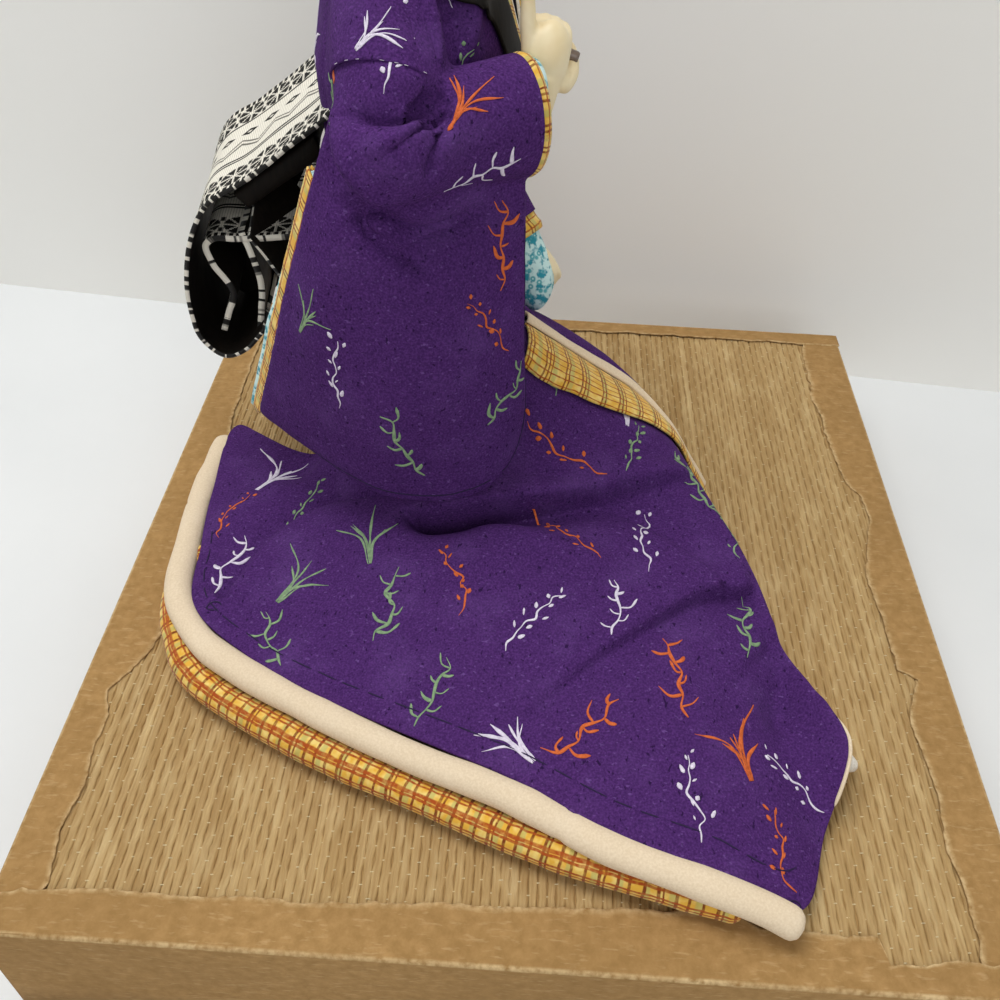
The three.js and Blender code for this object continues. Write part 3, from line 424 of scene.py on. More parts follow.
def wobblyAxes(tree):
    weave, across, along = weavePlaces(tree)
    shift = sums(tree, "MULTIPLY", sums(tree, "SUBTRACT", grain(tree, 190, 1, where=weave), 0.5), 0.0012)
    return sums(tree, "ADD", across, shift), sums(tree, "ADD", along, shift)


plaidLook = {
    "ground": "#e0ad3f", "pale": "#ebce78", "green": "#aab06a", "brown": "#7c3a12", "rust": "#a64a17",
    "acrossPeriod": 9.0, "checkPeriod": 7.5, "check": (5.2, 0.9),
}


def plaid(name, acrossMarks, alongMarks, alongPeriod):
    finish, tree, shader = startFinish(name, 0.9, 0.15, 0.25)
    across, along = wobblyAxes(tree)
    blotch = grain(tree, 300, 2)
    colour = tint(tree, plaidLook["ground"], plaidLook["pale"], blotch, 0.4, 0.65)
    checks = stripes(tree, along, plaidLook["checkPeriod"], [plaidLook["check"]])
    colour = mixShade(tree, sums(tree, "MULTIPLY", checks, 0.55), colour, plaidLook["green"])
    # the stripes worn fainter at random
    markStrength = between(tree, grain(tree, 700, 2), 0.25, 0.6, 0.55, 1.0)
    lengthwise = sums(tree, "MULTIPLY", stripes(tree, across, plaidLook["acrossPeriod"], acrossMarks), markStrength)
    crossing = sums(tree, "MULTIPLY", stripes(tree, along, alongPeriod, alongMarks), markStrength)
    colour = mixShade(tree, crossing, colour, plaidLook["brown"])
    colour = mixShade(tree, lengthwise, colour, plaidLook["rust"])
    wire(tree, shader, colour, grain(tree, 1100, 2), 0.12, 0.6)
    return finish


def flowered(name):
    finish, tree, shader = startFinish(name, 0.9, 0.15, 0.25)
    cells = addNode(tree, "TexVoronoi", {"Vector": addNode(tree, "TexCoord", out="Object"), "Scale": 330.0})
    petal = between(tree, cells, 0.28, 0.42)
    heart = between(tree, cells, 0.1, 0.16)
    colour = mixShade(tree, heart, "#c9e9e6", "#5fb2ba")
    colour = mixShade(tree, petal, colour, "#cfeeec")
    colour = tint(tree, colour, "#2f95a8", grain(tree, 380, 2), 0.5, 0.62)
    wire(tree, shader, colour, grain(tree, 1100, 2), 0.12, 0.6)
    return finish


purpleCrepe = crepe("purpleCrepe", "#553070", "#3d2155", "#7d5b9e", flecks=0.85)
creamCrepe = crepe("creamCrepe", "#e9d6ba", "#dec9aa", "#efe0c8", sheen=0.05, bump=0.22)
hemPlaid = plaid("hemPlaid", [(1.0, 0.4), (4.2, 0.5), (5.6, 0.7), (8.6, 0.35)],
                 [(1.0, 0.45), (5.2, 0.5), (6.6, 0.3), (10.4, 0.5), (14.0, 0.45)], 17.0)
edgePlaid = plaid("edgePlaid", [(1.0, 0.24), (4.0, 0.34), (7.2, 0.3)],
                  [(1.0, 0.34), (2.4, 0.3), (8.4, 0.36), (9.9, 0.3), (11.3, 0.24)], 16.5)
tealCloth = flowered("tealCloth")
print("cloth finishes made")


# studio: pale table, pale wall, soft light from above

studio = {
    "table": "#e3e5e5", "wall": "#f8f7f2", "wallFoot": ((-327.0, 242.0), (261.0, 191.0)),
    "lens": 36.0, "eye": (-6.6, -271.9, 333.8), "pitch": 43.6, "yaw": -1.24, "roll": 2.64,
    "sensor": 36.0, "reach": 3000.0, "height": 2500.0, "world": 0.35, "seenWorld": 0.9,
    "lamps": [  # name, place and aim in metres, size, power
        ("mainLight", (-0.3, 0.08, 1.12), (0.0, 0.0, 0.08), 0.6, 9.0),
        ("fillLight", (0.2, -0.95, 0.72), (0.0, 0.0, 0.1), 0.8, 3.4),
    ],
}


def plainStageFinish(name, text, oneSided):
    finish, tree, shader = startFinish(name, 0.8, specular=0.1)
    cloud = between(tree, grain(tree, 9, 4), 0.3, 0.7, 0, 0.14)
    wire(tree, shader, mixShade(tree, cloud, text, "#ffffff"))
    if oneSided:  # seen through from behind, so that the doll's back shows
        behind = addNode(tree, "NewGeometry", out="Backfacing")
        clear = addNode(tree, "BsdfTransparent")
        both = addNode(tree, "MixShader", {0: behind, 1: shader.outputs[0], 2: clear})
        tree.links.new(both, tree.nodes["Material Output"].inputs["Surface"])
    return finish


def makeStudio():
    scene = bpy.context.scene
    scene.view_settings.view_transform = "Standard"
    left, right = (np.array(point + (0.0,)) for point in studio["wallFoot"])
    run = unit(right - left)
    far = np.cross((0, 0, 1), run)
    corner = (left + right) / 2
    reach, height = studio["reach"], studio["height"]
    table = [corner - run * reach - far * reach, corner + run * reach - far * reach,
             corner + run * reach, corner - run * reach]
    table = np.array(table) - (0, 0, 0.2)
    wall = np.array([table[3], table[2], table[2] + (0, 0, height), table[3] + (0, 0, height)])
    for name, points, text, oneSided in (("table_top", table, studio["table"], False),
                                         ("back_wall", wall, studio["wall"], True)):
        mesh = bpy.data.meshes.new(name)
        mesh.from_pydata((points * mm).tolist(), [], [(0, 1, 2, 3)])
        mesh.materials.append(plainStageFinish(name, text, oneSided))
        obj = bpy.data.objects.new(name, mesh)
        scene.collection.objects.link(obj)
    world = bpy.data.worlds.new("studioAir")
    scene.world = world
    world.use_nodes = True
    tree = world.node_tree
    path = tree.nodes.new("ShaderNodeLightPath")
    seen = sums(tree, "MAXIMUM", path.outputs["Is Camera Ray"], path.outputs["Is Glossy Ray"])
    seen = sums(tree, "MAXIMUM", seen, path.outputs["Is Transmission Ray"])
    air = tree.nodes["Background"]
    air.inputs["Color"].default_value = shade("#f4f5f6")
    tree.links.new(between(tree, seen, 0, 1, studio["world"], studio["seenWorld"]), air.inputs["Strength"])
    for name, place, aim, size, power in studio["lamps"]:
        lamp = bpy.data.lights.new(name, "AREA")
        lamp.size = size
        lamp.energy = power
        obj = bpy.data.objects.new(name, lamp)
        obj.location = place
        obj.rotation_euler = (Vector(aim) - Vector(place)).to_track_quat("-Z", "Y").to_euler()
        scene.collection.objects.link(obj)


def makeCamera():
    pitch, yaw, roll = (math.radians(studio[key]) for key in ("pitch", "yaw", "roll"))
    ahead = np.array((math.sin(yaw) * math.cos(pitch), math.cos(yaw) * math.cos(pitch), -math.sin(pitch)))
    level = unit(np.cross(ahead, (0, 0, 1)))
    rise = np.cross(level, ahead)
    right = math.cos(roll) * level + math.sin(roll) * rise
    up = math.cos(roll) * rise - math.sin(roll) * level
    view = bpy.data.cameras.new("photoView")
    view.sensor_width = studio["sensor"]
    view.lens = studio["lens"]
    view.clip_start = 0.01
    obj = bpy.data.objects.new("photoView", view)
    rotation = np.stack([right, up, -ahead], axis=1)
    whole = np.eye(4)
    whole[:3, :3] = rotation
    whole[:3, 3] = np.array(studio["eye"]) * mm
    obj.matrix_world = Matrix(whole.tolist())
    bpy.context.scene.collection.objects.link(obj)
    bpy.context.scene.camera = obj


makeStudio()
makeCamera()
print("studio ready")


# rush mat: bundles of rush pinched in pairs by rows of pale thread

rush = {
    "profile": [(-0.56, -1.2), (-0.46, 0.3), (-0.27, 1.0), (-0.1, 0.75), (0.0, 0.45), (0.1, 0.72), (0.28, 0.95),
                (0.46, 0.25), (0.56, -1.2)],  # a bundle cut across, in shares of its width and height
    "half": (148.6, 160.2), "top": 49.9, "bottom": 47.55, "pitch": 2.72, "row": 4.05, "sway": 0.17,
    "height": 0.6, "thread": (0.8, 0.2), "shown": (142.0, 155.0),
}


def rushFinish():
    finish, tree, shader = startFinish("rushStraw", 0.72, specular=0.35)
    tone = addNode(tree, "Attribute", out="Fac", attribute_name="tone")
    streak = grain(tree, 1500, 3, stretch=(1, 0.02, 0.5))
    blotch = grain(tree, 220, 3, stretch=(1, 0.22, 1))
    colour = mixShade(tree, tone, "#a2814e", "#c2a471")
    colour = tint(tree, colour, "#8e6b3e", streak, 0.35, 0.7, 0, 0.42)
    colour = tint(tree, colour, "#d6bd8c", blotch, 0.5, 0.75, 0, 0.5)
    wire(tree, shader, colour, streak, 0.12, 0.8)
    return finish


def makeMat():
    rng = np.random.default_rng(11)
    halfX, halfY = rush["half"]
    bundles = int(2 * halfX / rush["pitch"])
    rows = int(2 * halfY / rush["row"]) + 1
    runY = np.linspace(-halfY, halfY, rows)
    profile = np.array(rush["profile"])
    sink = np.where(profile[:, 1] < 0, 0.8, 1)
    shells, tones = [], []
    for bundle in range(bundles):
        middle = -halfX + (bundle + 0.5) * 2 * halfX / bundles
        pull = np.where((bundle + np.arange(rows)) % 2 == 0, 1.0, -1.0) * rush["sway"]
        x = middle + pull + rng.normal(0, 0.09, rows)
        rise = rush["height"] * (0.8 + 0.35 * rng.random() + 0.14 * rng.normal(0, 1, rows))
        wide = rush["pitch"] * (1.0 + 0.08 * rng.normal(0, 1, rows))
        points = np.empty((rows, len(profile), 3))
        points[..., 0] = x[:, None] + profile[:, 0] * wide[:, None]
        points[..., 1] = runY[:, None]
        points[..., 2] = rush["top"] - rush["height"] + profile[:, 1] * rise[:, None] * sink
        count = len(profile)
        faces = gridFaces(rows, count, closeColumns=True)
        faces += [tuple(range(count - 1, -1, -1)), tuple(range((rows - 1) * count, rows * count))]
        shells.append((points, [face[::-1] for face in faces]))
        base = rng.beta(3.5, 3.5)
        tones.append(np.repeat(np.clip(base + rng.normal(0, 0.1, rows), 0, 1), count))
    points, faces = joinShells(shells)
    mat = addMesh("rush_mat", points, faces, rushFinish(), inDoll=False)
    setTone(mat, "tone", np.concatenate(tones))
    pointOut(mat)
    bed = [(x, y, z) for z in (rush["bottom"], rush["top"] - rush["height"] - 0.2) for x, y in
           ((-halfX, -halfY), (halfX, -halfY), (halfX, halfY), (-halfX, halfY))]
    bedFaces = [(3, 2, 1, 0), (4, 5, 6, 7), (0, 1, 5, 4), (1, 2, 6, 5), (2, 3, 7, 6), (3, 0, 4, 7)]
    backing = addMesh("rush_backing", bed, bedFaces, mat.data.materials[0], inDoll=False, flat=True)
    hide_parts("tatami_mat")
    stitches = []
    for row in range(1, rows - 1):
        for bundle in range(bundles - 1):
            middle = -halfX + (bundle + 1.0) * 2 * halfX / bundles
            if (bundle + row) % 2 or abs(middle) > rush["shown"][0] or abs(runY[row]) > rush["shown"][1]:
                continue
            half, thick = rush["thread"]
            half *= 0.85 + 0.3 * rng.random()
            y = runY[row] + rng.normal(0, 0.12)
            top = rush["top"] - 0.22 + rng.normal(0, 0.06)
            path = [(middle - half, y, top - 0.75), (middle - half * 0.6, y, top),
                    (middle + half * 0.6, y + 0.1, top),
                    (middle + half, y, top - 0.75)]
            stitches.append(ringPath(path, [thick] * 4, 4, lean=(0, 1, 0)))
    finish = twoTone("matThread", ("#e6d3a4", "#5a4630"), 0.7, 2600, 2, (0.3, 0.7, 0, 0.4), (0.1, 0.6), sheen=0.2)
    points, faces = joinShells(stitches)
    thread = addMesh("mat_thread", points, faces, finish, inDoll=False)
    pointOut(thread)
    print("rush mat", bundles, "bundles", len(stitches), "stitches")


makeMat()


# torn kraft paper folded over the edges of the base

paper = {
    "half": (150.0, 161.5), "top": 50.75, "thick": 0.6, "fold": 1.4, "step": 1.0, "fray": 0.35, "curl": 1.1,
    "flat": ((0.064, 0.322), (0.064, 0.3)),  # metres, side strips then front and back
    "front": [(-150, -150), (-134, -148), (-110, -147.2), (-80, -146), (-61, -147.2), (-40, -145.5), (-21, -144),
              (20, -142.6), (65, -142), (71, -145), (104, -146), (106, -153), (118, -151.6), (129, -151.2),
              (150, -152)],
    "back": [(150, 152), (128, 151.6), (60, 152.6), (-10, 151.8), (-90, 152.4), (-150, 152)],
    "left": [(-134, 161), (-135, 96), (-132, 40), (-129, -18), (-129, -54), (-134, -69), (-140, -79), (-136, -88),
             (-137, -100), (-135, -114), (-137, -129), (-135, -145), (-136, -161)],
    "right": [(133, -161), (133, -151), (132, -120), (133, -96), (132, -70), (135, -60), (139, -53), (132, -49),
              (132, -40), (131, -1), (134, 12), (138, 27), (138, 40), (133, 51), (131, 80), (129, 107), (131, 161)],
}


def kraftFinish():
    finish, tree, shader = startFinish("kraftPaper", 0.82, specular=0.2)
    pulp = grain(tree, 260, 5, rough=0.65)
    fibre = grain(tree, 900, 3, stretch=(0.25, 1, 1))
    cloud = grain(tree, 22, 3)
    # the paler paper is partly a painted highlight along the rounded fold over the base's edge, partly wear at the
    # torn edge and in scuffs
    markStrength = addNode(tree, "Attribute", out="Fac", attribute_name="markStrength")
    colour = tint(tree, "#997646", "#b08a57", pulp, 0.35, 0.7)
    colour = tint(tree, colour, "#c7a677", fibre, 0.58, 0.72, 0, 0.45)
    colour = tint(tree, colour, "#8c6b3e", cloud, 0.4, 0.75, 0, 0.45)
    wearAndFoldHighlight = sums(tree, "MULTIPLY", markStrength, between(tree, grain(tree, 520, 4), 0.3, 0.62))
    colour = mixShade(tree, wearAndFoldHighlight, colour, "#d3b788")
    wire(tree, shader, colour, sums(tree, "ADD", pulp, fibre), 0.12, 0.6)
    return finish


def paperStrip(name, outline, wallAxis, side, drop, finish, seed):
    # the strip runs along one edge: wall, rounded fold, then over the mat to the torn line
    rng = np.random.default_rng(seed)
    line = np.array([point + (0.0,) for point in outline], float)
    run = runAlong(line)
    count = int(run[-1] / paper["step"])
    want = np.linspace(0, run[-1], count)
    torn = np.stack([np.interp(want, run, line[:, axis]) for axis in range(2)], axis=1)
    fray = rng.normal(0, 1, count)
    fray = np.convolve(fray, (0.25, 0.5, 0.25), "same") * paper["fray"]
    slow = np.interp(np.arange(count), np.linspace(0, count, count // 9 + 2), rng.normal(0, 1, count // 9 + 2))
    torn[:, wallAxis] += fray + slow * 0.45
    edge = paper["half"][wallAxis] * side
    reach = np.abs(edge - torn[:, wallAxis])
    lift = np.interp(np.arange(count), np.linspace(0, count, count // 25 + 2),
                     np.abs(rng.normal(0, 1, count // 25 + 2)))
    top, bend = paper["top"] - drop, paper["fold"]
    rows = []
    for height in (0.15, 16, 32, top - bend):
        rows.append((np.zeros(count), np.full(count, height)))
    for turn in (0.3, 0.7, 1.1, math.pi / 2):
        rows.append((np.full(count, bend * (1 - math.cos(turn))),
                     np.full(count, top - bend + bend * math.sin(turn))))
    for share in (0.3, 0.55, 0.75, 0.88, 0.95, 1.0):
        inward = bend + (reach - bend) * share
        ripple = 0.12 * slow * share
        rows.append((inward, top + paper["curl"] * lift * 0.3 * share ** 3 + np.maximum(ripple, 0)))
    grid = np.empty((len(rows), count, 3))
    other = 1 - wallAxis
    for row, (inward, height) in enumerate(rows):
        grid[row, :, wallAxis] = edge - side * inward
        grid[row, :, other] = np.clip(torn[:, other], -paper["half"][other], paper["half"][other])
        grid[row, :, 2] = height
    strip = addMesh(name, grid, gridFaces(len(rows), count), finish, inDoll=False)
    # rows 4 to 6 run round the fold: paler there as a painted highlight; the last rows, at the torn edge, paler
    # with wear
    markStrength = np.zeros((len(rows), count))
    markStrength[4:7] = 0.75
    markStrength[-2:] = 0.5
    markStrength[-1] = 0.9
    markStrength *= 0.7 + 0.3 * np.abs(slow)
    setTone(strip, "markStrength", markStrength)
    pointOut(strip)
    thicken(strip, paper["thick"], 1.0 if strip.data.polygons[0].normal[wallAxis] * side < 0 else -1.0)
    return strip


def makePaper():
    finish = kraftFinish()
    for side, wallAxis, way, drop, seed in (
        ("front", 1, -1, 0.0, 3), ("back", 1, 1, 0.0, 4), ("left", 0, -1, 0.3, 5), ("right", 0, 1, 0.3, 6),
    ):
        strip = paperStrip("binding_" + side, paper[side], wallAxis, way, drop, finish, seed)
        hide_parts("paper_" + side)
    print("paper binding folded")


makePaper()


# trunk of the doll under its clothes: half-depth and half-width by height, in mm

trunk = {
    "height": (24.3, 50, 92, 130, 168, 192, 205), "depth": (33, 34, 26, 27.5, 29, 24, 14.5),
    "width": (40, 41, 32, 36.5, 41, 41, 24.5), "sides": 72,
}


def trunkSize(height, outside=0.0):
    return (np.interp(height, trunk["height"], trunk["depth"]) + outside,
            np.interp(height, trunk["height"], trunk["width"]) + outside)


def trunkRing(height, outside):
    sides = trunk["sides"]
    turn = np.linspace(0, 2 * math.pi, sides, endpoint=False)
    depth, width = trunkSize(height, outside)
    return np.stack([np.cos(turn) * depth, np.sin(turn) * width, np.full(sides, float(height))], axis=1)


# skirt: cloth over the folded legs, its train laid out on the mat

skirt = {
    "columns": 600, "rows": 150, "thick": 1.2, "top": 76.0, "outside": 4.2, "low": 1.6,
    "turnUnder": ((4.5, 2.3), (2.0, 2.2), (0.6, 1.6), (0.1, 0.8)),  # the hem turned in: back and down
    "easing": (3, 3, 3, 4, 4),  # levels near the waist where neighbouring ribs ease into each other
    "softEdge": (1.3, 1.0), "flat": (0.42, 0.19), "cut": 0.058,  # metres and square metres, its gores taken off
    "ribs": [  # hem point, ridge point, how far the cloth stands up between ridge and waist
        ((-81, 4, 10), (-44, -26, 15), 0.1), ((-81, -38, 11), (-46, -36, 17), 0.1),
        ((-77, -68, 13), (-44, -47, 19), 0.1), ((-70, -101, 16.5), (-37, -60, 23), 0.1),
        ((-47, -121, 17), (-20, -69, 29), 0.1), ((-21, -135, 17), (2, -73, 35), 0.1),
        ((12, -148.5, 17), (25, -74, 39), 0.15), ((43, -160.5, 17), (49, -74, 40), 0.15),
        ((74, -177, 17), (73, -75, 38), 0.2), ((101, -185, 15), (92, -78, 35), 0.2),
        ((126, -190.5, 8), (106, -85, 31), 0.25), ((138, -165, 5), (114, -91, 28), 0.25),
        ((147, -140, 15.5), (120, -91, 27), 0.25), ((140, -124, 14), (121, -82, 28), 0.3),
        ((132, -106, 9), (119, -72, 30), 0.35), ((126, -80, 3), (114, -60, 32), 0.4),
        ((122, -52, 3), (107, -44, 34), 0.45), ((117, -26, 3), (99, -26, 36), 0.5),
        ((111, -2, 3), (90, -8, 38), 0.5), ((89, 30, 3), (70, 16, 44), 0.5),
        ((46, 50, 3), (36, 38, 50), 0.5), ((2, 57, 3), (0, 50, 52), 0.5),
        ((-34, 46, 3), (-28, 41, 48), 0.5), ((-46, 14, 3), (-41, 12, 38), 0.5),
        ((-49, -17, 9), (-35, -19, 24), 0.4),
    ],
    "ledges": [  # line, then start and end values of rise, fall, width above, width below, overhang
        ([(-4, -66), (14, -64), (32, -61), (46, -59), (62, -55), (76, -51), (90, -47), (106, -40)],
         (3.6, 1.6), (21, 2.0), (8, 7), (7, 24), (6.0, 0.8)),
        ([(37, -148), (48, -136), (56, -129), (68, -119), (79, -110), (89, -102), (97, -95.5), (107, -89.5),
          (124, -85)],
         (0.3, 3.4), (0.3, 6.5), (9, 10), (7, 9), (0.2, 3.0)),
        ([(104, -134), (114, -119), (126, -104)], (0.2, 1.2), (0.2, 1.8), (5, 5), (5, 5), (0.1, 0.5)),
        ([(12, -63), (-10, -59), (-30, -57.5), (-43, -62), (-50.5, -75), (-55.5, -90), (-60, -100)],
         (0.4, 2.4), (3.0, 6.0), (12, 12), (12, 10), (0.6, 1.6)),
    ],
    "folds": [  # line, width, height
        ([(126, -98), (130, -117), (124, -138)], 5.5, -4.5), ([(140, -120), (146, -140), (140, -158)], 6.0, 2.5),
        ([(18, -70), (33, -73), (48, -80), (62, -86), (76, -91)], 5.5, 3.0),
        ([(20, -120), (60, -140), (100, -160)], 16.0, -1.4), ([(44, -52), (60, -54), (78, -52)], 2.2, -1.2),
        ([(-30, -100), (0, -122), (36, -146)], 14.0, 1.0), ([(-74, -60), (-60, -44), (-40, -40)], 6.0, 1.6),
        ([(-76, -80), (-62, -66), (-42, -58)], 6.0, -1.6), ([(88, -112), (102, -140), (112, -168)], 7.0, 1.4),
        ([(60, -30), (82, -26), (104, -28)], 6.0, 0.9), ([(46, -38), (80, -38), (106, -36)], 4.0, -0.8),
    ],
}


def skirtLevels():
    levels = [[] for _ in range(5)]
    depth, width = trunkSize(skirt["top"])
    for hem, ridge, stand in skirt["ribs"]:
        low, high = np.array(hem, float), np.array(ridge, float)
        turn = math.atan2(high[1] / width, high[0] / depth)
        waist = np.array((math.cos(turn) * (depth + skirt["outside"]), math.sin(turn) * (width + skirt["outside"]),
                          skirt["top"]))
        upper = high + (waist - high) * 0.55
        upper[2] = high[2] + (skirt["top"] - high[2]) * stand * 1.1
        for level, place in zip(levels, (low, (low + high) / 2, high, upper, waist)):
            level.append(place)
    for at in skirt["easing"]:
        level = np.array(levels[at])
        levels[at] = list(level * 0.5 + (np.roll(level, 1, axis=0) + np.roll(level, -1, axis=0)) * 0.25)
    return levels


def skirtGrid(rounds, ups):
    rings = [smoothLine(level, rounds, True) for level in skirtLevels()]
    return np.stack([smoothLine([ring[at] for ring in rings], ups) for at in range(len(rounds))])


def lineSide(places, line):
    # distance to a line drawn from above, plus to its left, and the share of its run
    best = np.full(len(places), 1e9)
    signed, share = np.zeros(len(places)), np.zeros(len(places))
    away = np.zeros((len(places), 2))
    runs = np.linalg.norm(np.diff(line, axis=0), axis=1)
    done = np.concatenate([[0], np.cumsum(runs)])
    for at, (start, end) in enumerate(zip(line[:-1], line[1:])):
        run = end - start
        part = np.clip(((places - start) @ run) / (run @ run), 0, 1)
        off = places - start - part[:, None] * run
        gap = np.linalg.norm(off, axis=1)
        closer = gap < best
        best[closer] = gap[closer]
        cross = run[0] * off[:, 1] - run[1] * off[:, 0]
        signed[closer] = (np.sign(cross) * gap)[closer]
        share[closer] = ((done[at] + part * runs[at]) / done[-1])[closer]
        away[closer] = np.array((-run[1], run[0]))[None].repeat(closer.sum(), 0) / runs[at]
    return signed, share, away


def dropLine(line):
    return evenLine([tuple(point) + (0.0,) for point in line], 2.0)[:, :2]


def foldCloth(grid):
    places = grid.reshape(-1, 3).copy()
    for line, rise, fall, above, below, over in skirt["ledges"]:
        signed, share, left = lineSide(places[:, :2], dropLine(line))
        value = [np.interp(share, (0, 1), pair) for pair in (rise, fall, above, below, over)]
        ends = smoothStep(share, 0.0, 0.12) * (1 - smoothStep(share, 0.94, 1.0))
        up = np.maximum(signed, 0)
        down = np.maximum(-signed, 0)
        lift = value[0] * (1 - np.exp(-up / skirt["softEdge"][0])) * np.exp(-(up / value[2]) ** 2)
        drop = value[1] * (1 - np.exp(-down / skirt["softEdge"][1])) * np.exp(-(down / value[3]) ** 2)
        shelf = value[4] * np.exp(-((signed - 1.2) / 2.6) ** 2)
        places[:, 2] += ends * np.where(signed >= 0, lift, -drop)
        places[:, :2] -= left * (ends * shelf)[:, None]
    for line, width, height in skirt["folds"]:
        signed, share, _ = lineSide(places[:, :2], dropLine(line))
        fade = smoothStep(share, 0, 0.2) * (1 - smoothStep(share, 0.8, 1.0))
        places[:, 2] += height * np.exp(-(signed / width) ** 2) * (0.2 + 0.8 * fade)
    return places.reshape(grid.shape)


def softNoise(places, size, seed):
    # smooth uneven waves, the sum of a few slanted ripples
    rng = np.random.default_rng(seed)
    total = np.zeros(places.shape[:-1])
    for _ in range(6):
        way = unit(rng.normal(0, 1, 3)) * (0.7 + 0.6 * rng.random()) * 2 * math.pi / size
        total += np.sin(places @ way + rng.random() * 6.28)
    return total / 6


def makeSkirt():
    ups = np.concatenate([np.linspace(0, 0.1, 22)[:-1], np.linspace(0.1, 1, skirt["rows"] - 21)])
    rounds = np.linspace(0, 1, skirt["columns"], endpoint=False)
    grid = skirtGrid(rounds, ups)
    quiet = np.clip(ups / 0.12, 0, 1) * np.clip((1 - ups) / 0.2, 0, 1)
    folded = foldCloth(grid)
    folded[..., 2] += 0.7 * softNoise(grid, 46.0, 5) * quiet + 0.22 * softNoise(grid, 15.0, 6) * quiet
    pucker = np.exp(-((ups - 0.03) / 0.03) ** 2)
    folded[..., 2] += 0.3 * softNoise(grid, 7.0, 7) * pucker
    share = np.clip((1 - ups) / 0.1, 0, 1)[None, :, None]
    folded = grid * (1 - share) + folded * share
    folded[..., 2] = np.maximum(folded[..., 2], skirt["low"])
    inward = unit((folded[:, 6] - folded[:, 0]) * (1, 1, 0.3))
    turned = [folded[:, 0] + inward * back - (0, 0, drop) for back, drop in skirt["turnUnder"]]
    turned = np.stack(turned, axis=1)
    turned[..., 2] = np.maximum(turned[..., 2], 1.0)
    whole = np.concatenate([turned, folded], axis=1)
    cloth = clothFromGrid("skirt_cloth", whole, purpleCrepe, skirt["thick"], closeRows=True)
    pointOut(cloth)
    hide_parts("kimono_skirt")
    print("skirt laid out")
    return cloth


skirtCloth = makeSkirt()


# padded hem rolls under the skirt's edge

hems = {
    "creamRadius": 4.6, "plaidRadius": 5.6, "sides": 28, "step": 1.4,
    "cream": [(-85, -1, 6), (-86, -36, 7), (-83, -66, 9.5), (-77.5, -95, 13), (-64.5, -114, 14.2),
              (-50.5, -124, 14.2),
              (-26.5, -136.5, 14.2), (9, -152.5, 14.2), (42, -164.5, 14.2), (71.5, -179, 14.2), (96.5, -187, 13.4),
              (115, -192, 10.5), (126, -195.5, 7)],
    "plaid": [(-76, -66, 6.6), (-81, -84, 6.6), (-77, -103, 6.2), (-65, -122.5, 6.2), (-27, -144.5, 6.2),
              (15, -161.5, 6.2), (57, -177, 6.2), (98, -187, 6.6), (111, -190, 6.6)],
}


def tubeWeave(obj, path, sides, girth):
    run = runAlong(path)
    layer = obj.data.uv_layers.new(name="weave")
    for face in obj.data.polygons:
        ring = [obj.data.loops[at].vertex_index for at in face.loop_indices]
        wraps = max(v % sides for v in ring) - min(v % sides for v in ring) > 2
        for at, vertex in zip(face.loop_indices, ring):
            column = vertex % sides
            column = sides if wraps and column == 0 else column
            layer.data[at].uv = (column / sides * girth * mm, run[vertex // sides] * mm)


def paddedRoll(name, line, radius, finish, seed, squash, seams=()):
    path = evenLine(line, hems["step"])
    run = runAlong(path)
    rng = np.random.default_rng(seed)
    radii = roundEnds(path, radius, 4.0)
    radii *= 1 + 0.03 * np.interp(run, np.arange(0, run[-1] + 9, 9.0), rng.normal(0, 1, int(run[-1] / 9) + 2))
    for place in seams:
        radii *= 1 - 0.1 * np.exp(-((run - place * run[-1]) / 1.3) ** 2)
    points, faces = ringPath(path, radii, hems["sides"], squash, start=math.pi)
    rows = points.reshape(len(path), hems["sides"], 3)
    rows[..., 2] += 0.16 * softNoise(rows, 9.0, seed)
    obj = addMesh(name, points, faces, finish)
    pointOut(obj)
    tubeWeave(obj, path, hems["sides"], 2 * math.pi * radius)
    return obj


def makeHems():
    cream = paddedRoll("hem_cream_roll", hems["cream"], hems["creamRadius"], creamCrepe, 21, (1.08, 0.95),
                       seams=(0.13, 0.78))
    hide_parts("kimono_hem")
    under = paddedRoll("hem_plaid_roll", hems["plaid"], hems["plaidRadius"], hemPlaid, 22, (1.02, 0.95))
    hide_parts("under_kimono_hem")
    print("hem rolls sewn")


makeHems()


# left front of the skirt folded over the lap: purple panel, cream edge, plaid edge

lap = {
    "plaidLow": [(0.528, 0.95), (0.616, 0.825), (0.642, 0.738), (0.678, 0.594), (0.689, 0.46), (0.689, 0.32),
                 (0.688, 0.16), (0.686, 0.04)],
    "plaidHigh": [(0.712, 0.95), (0.73, 0.756), (0.731, 0.65), (0.729, 0.52), (0.716, 0.45), (0.706, 0.34),
                  (0.702, 0.16), (0.70, 0.04)],
    "creamHigh": [(0.734, 0.95), (0.746, 0.78), (0.745, 0.66), (0.741, 0.53), (0.725, 0.46), (0.714, 0.34),
                  (0.709, 0.16), (0.707, 0.04)],
    "panelEnd": 0.845, "length": 150, "bandColumns": 26, "panelColumns": 60, "thick": 0.9,
}


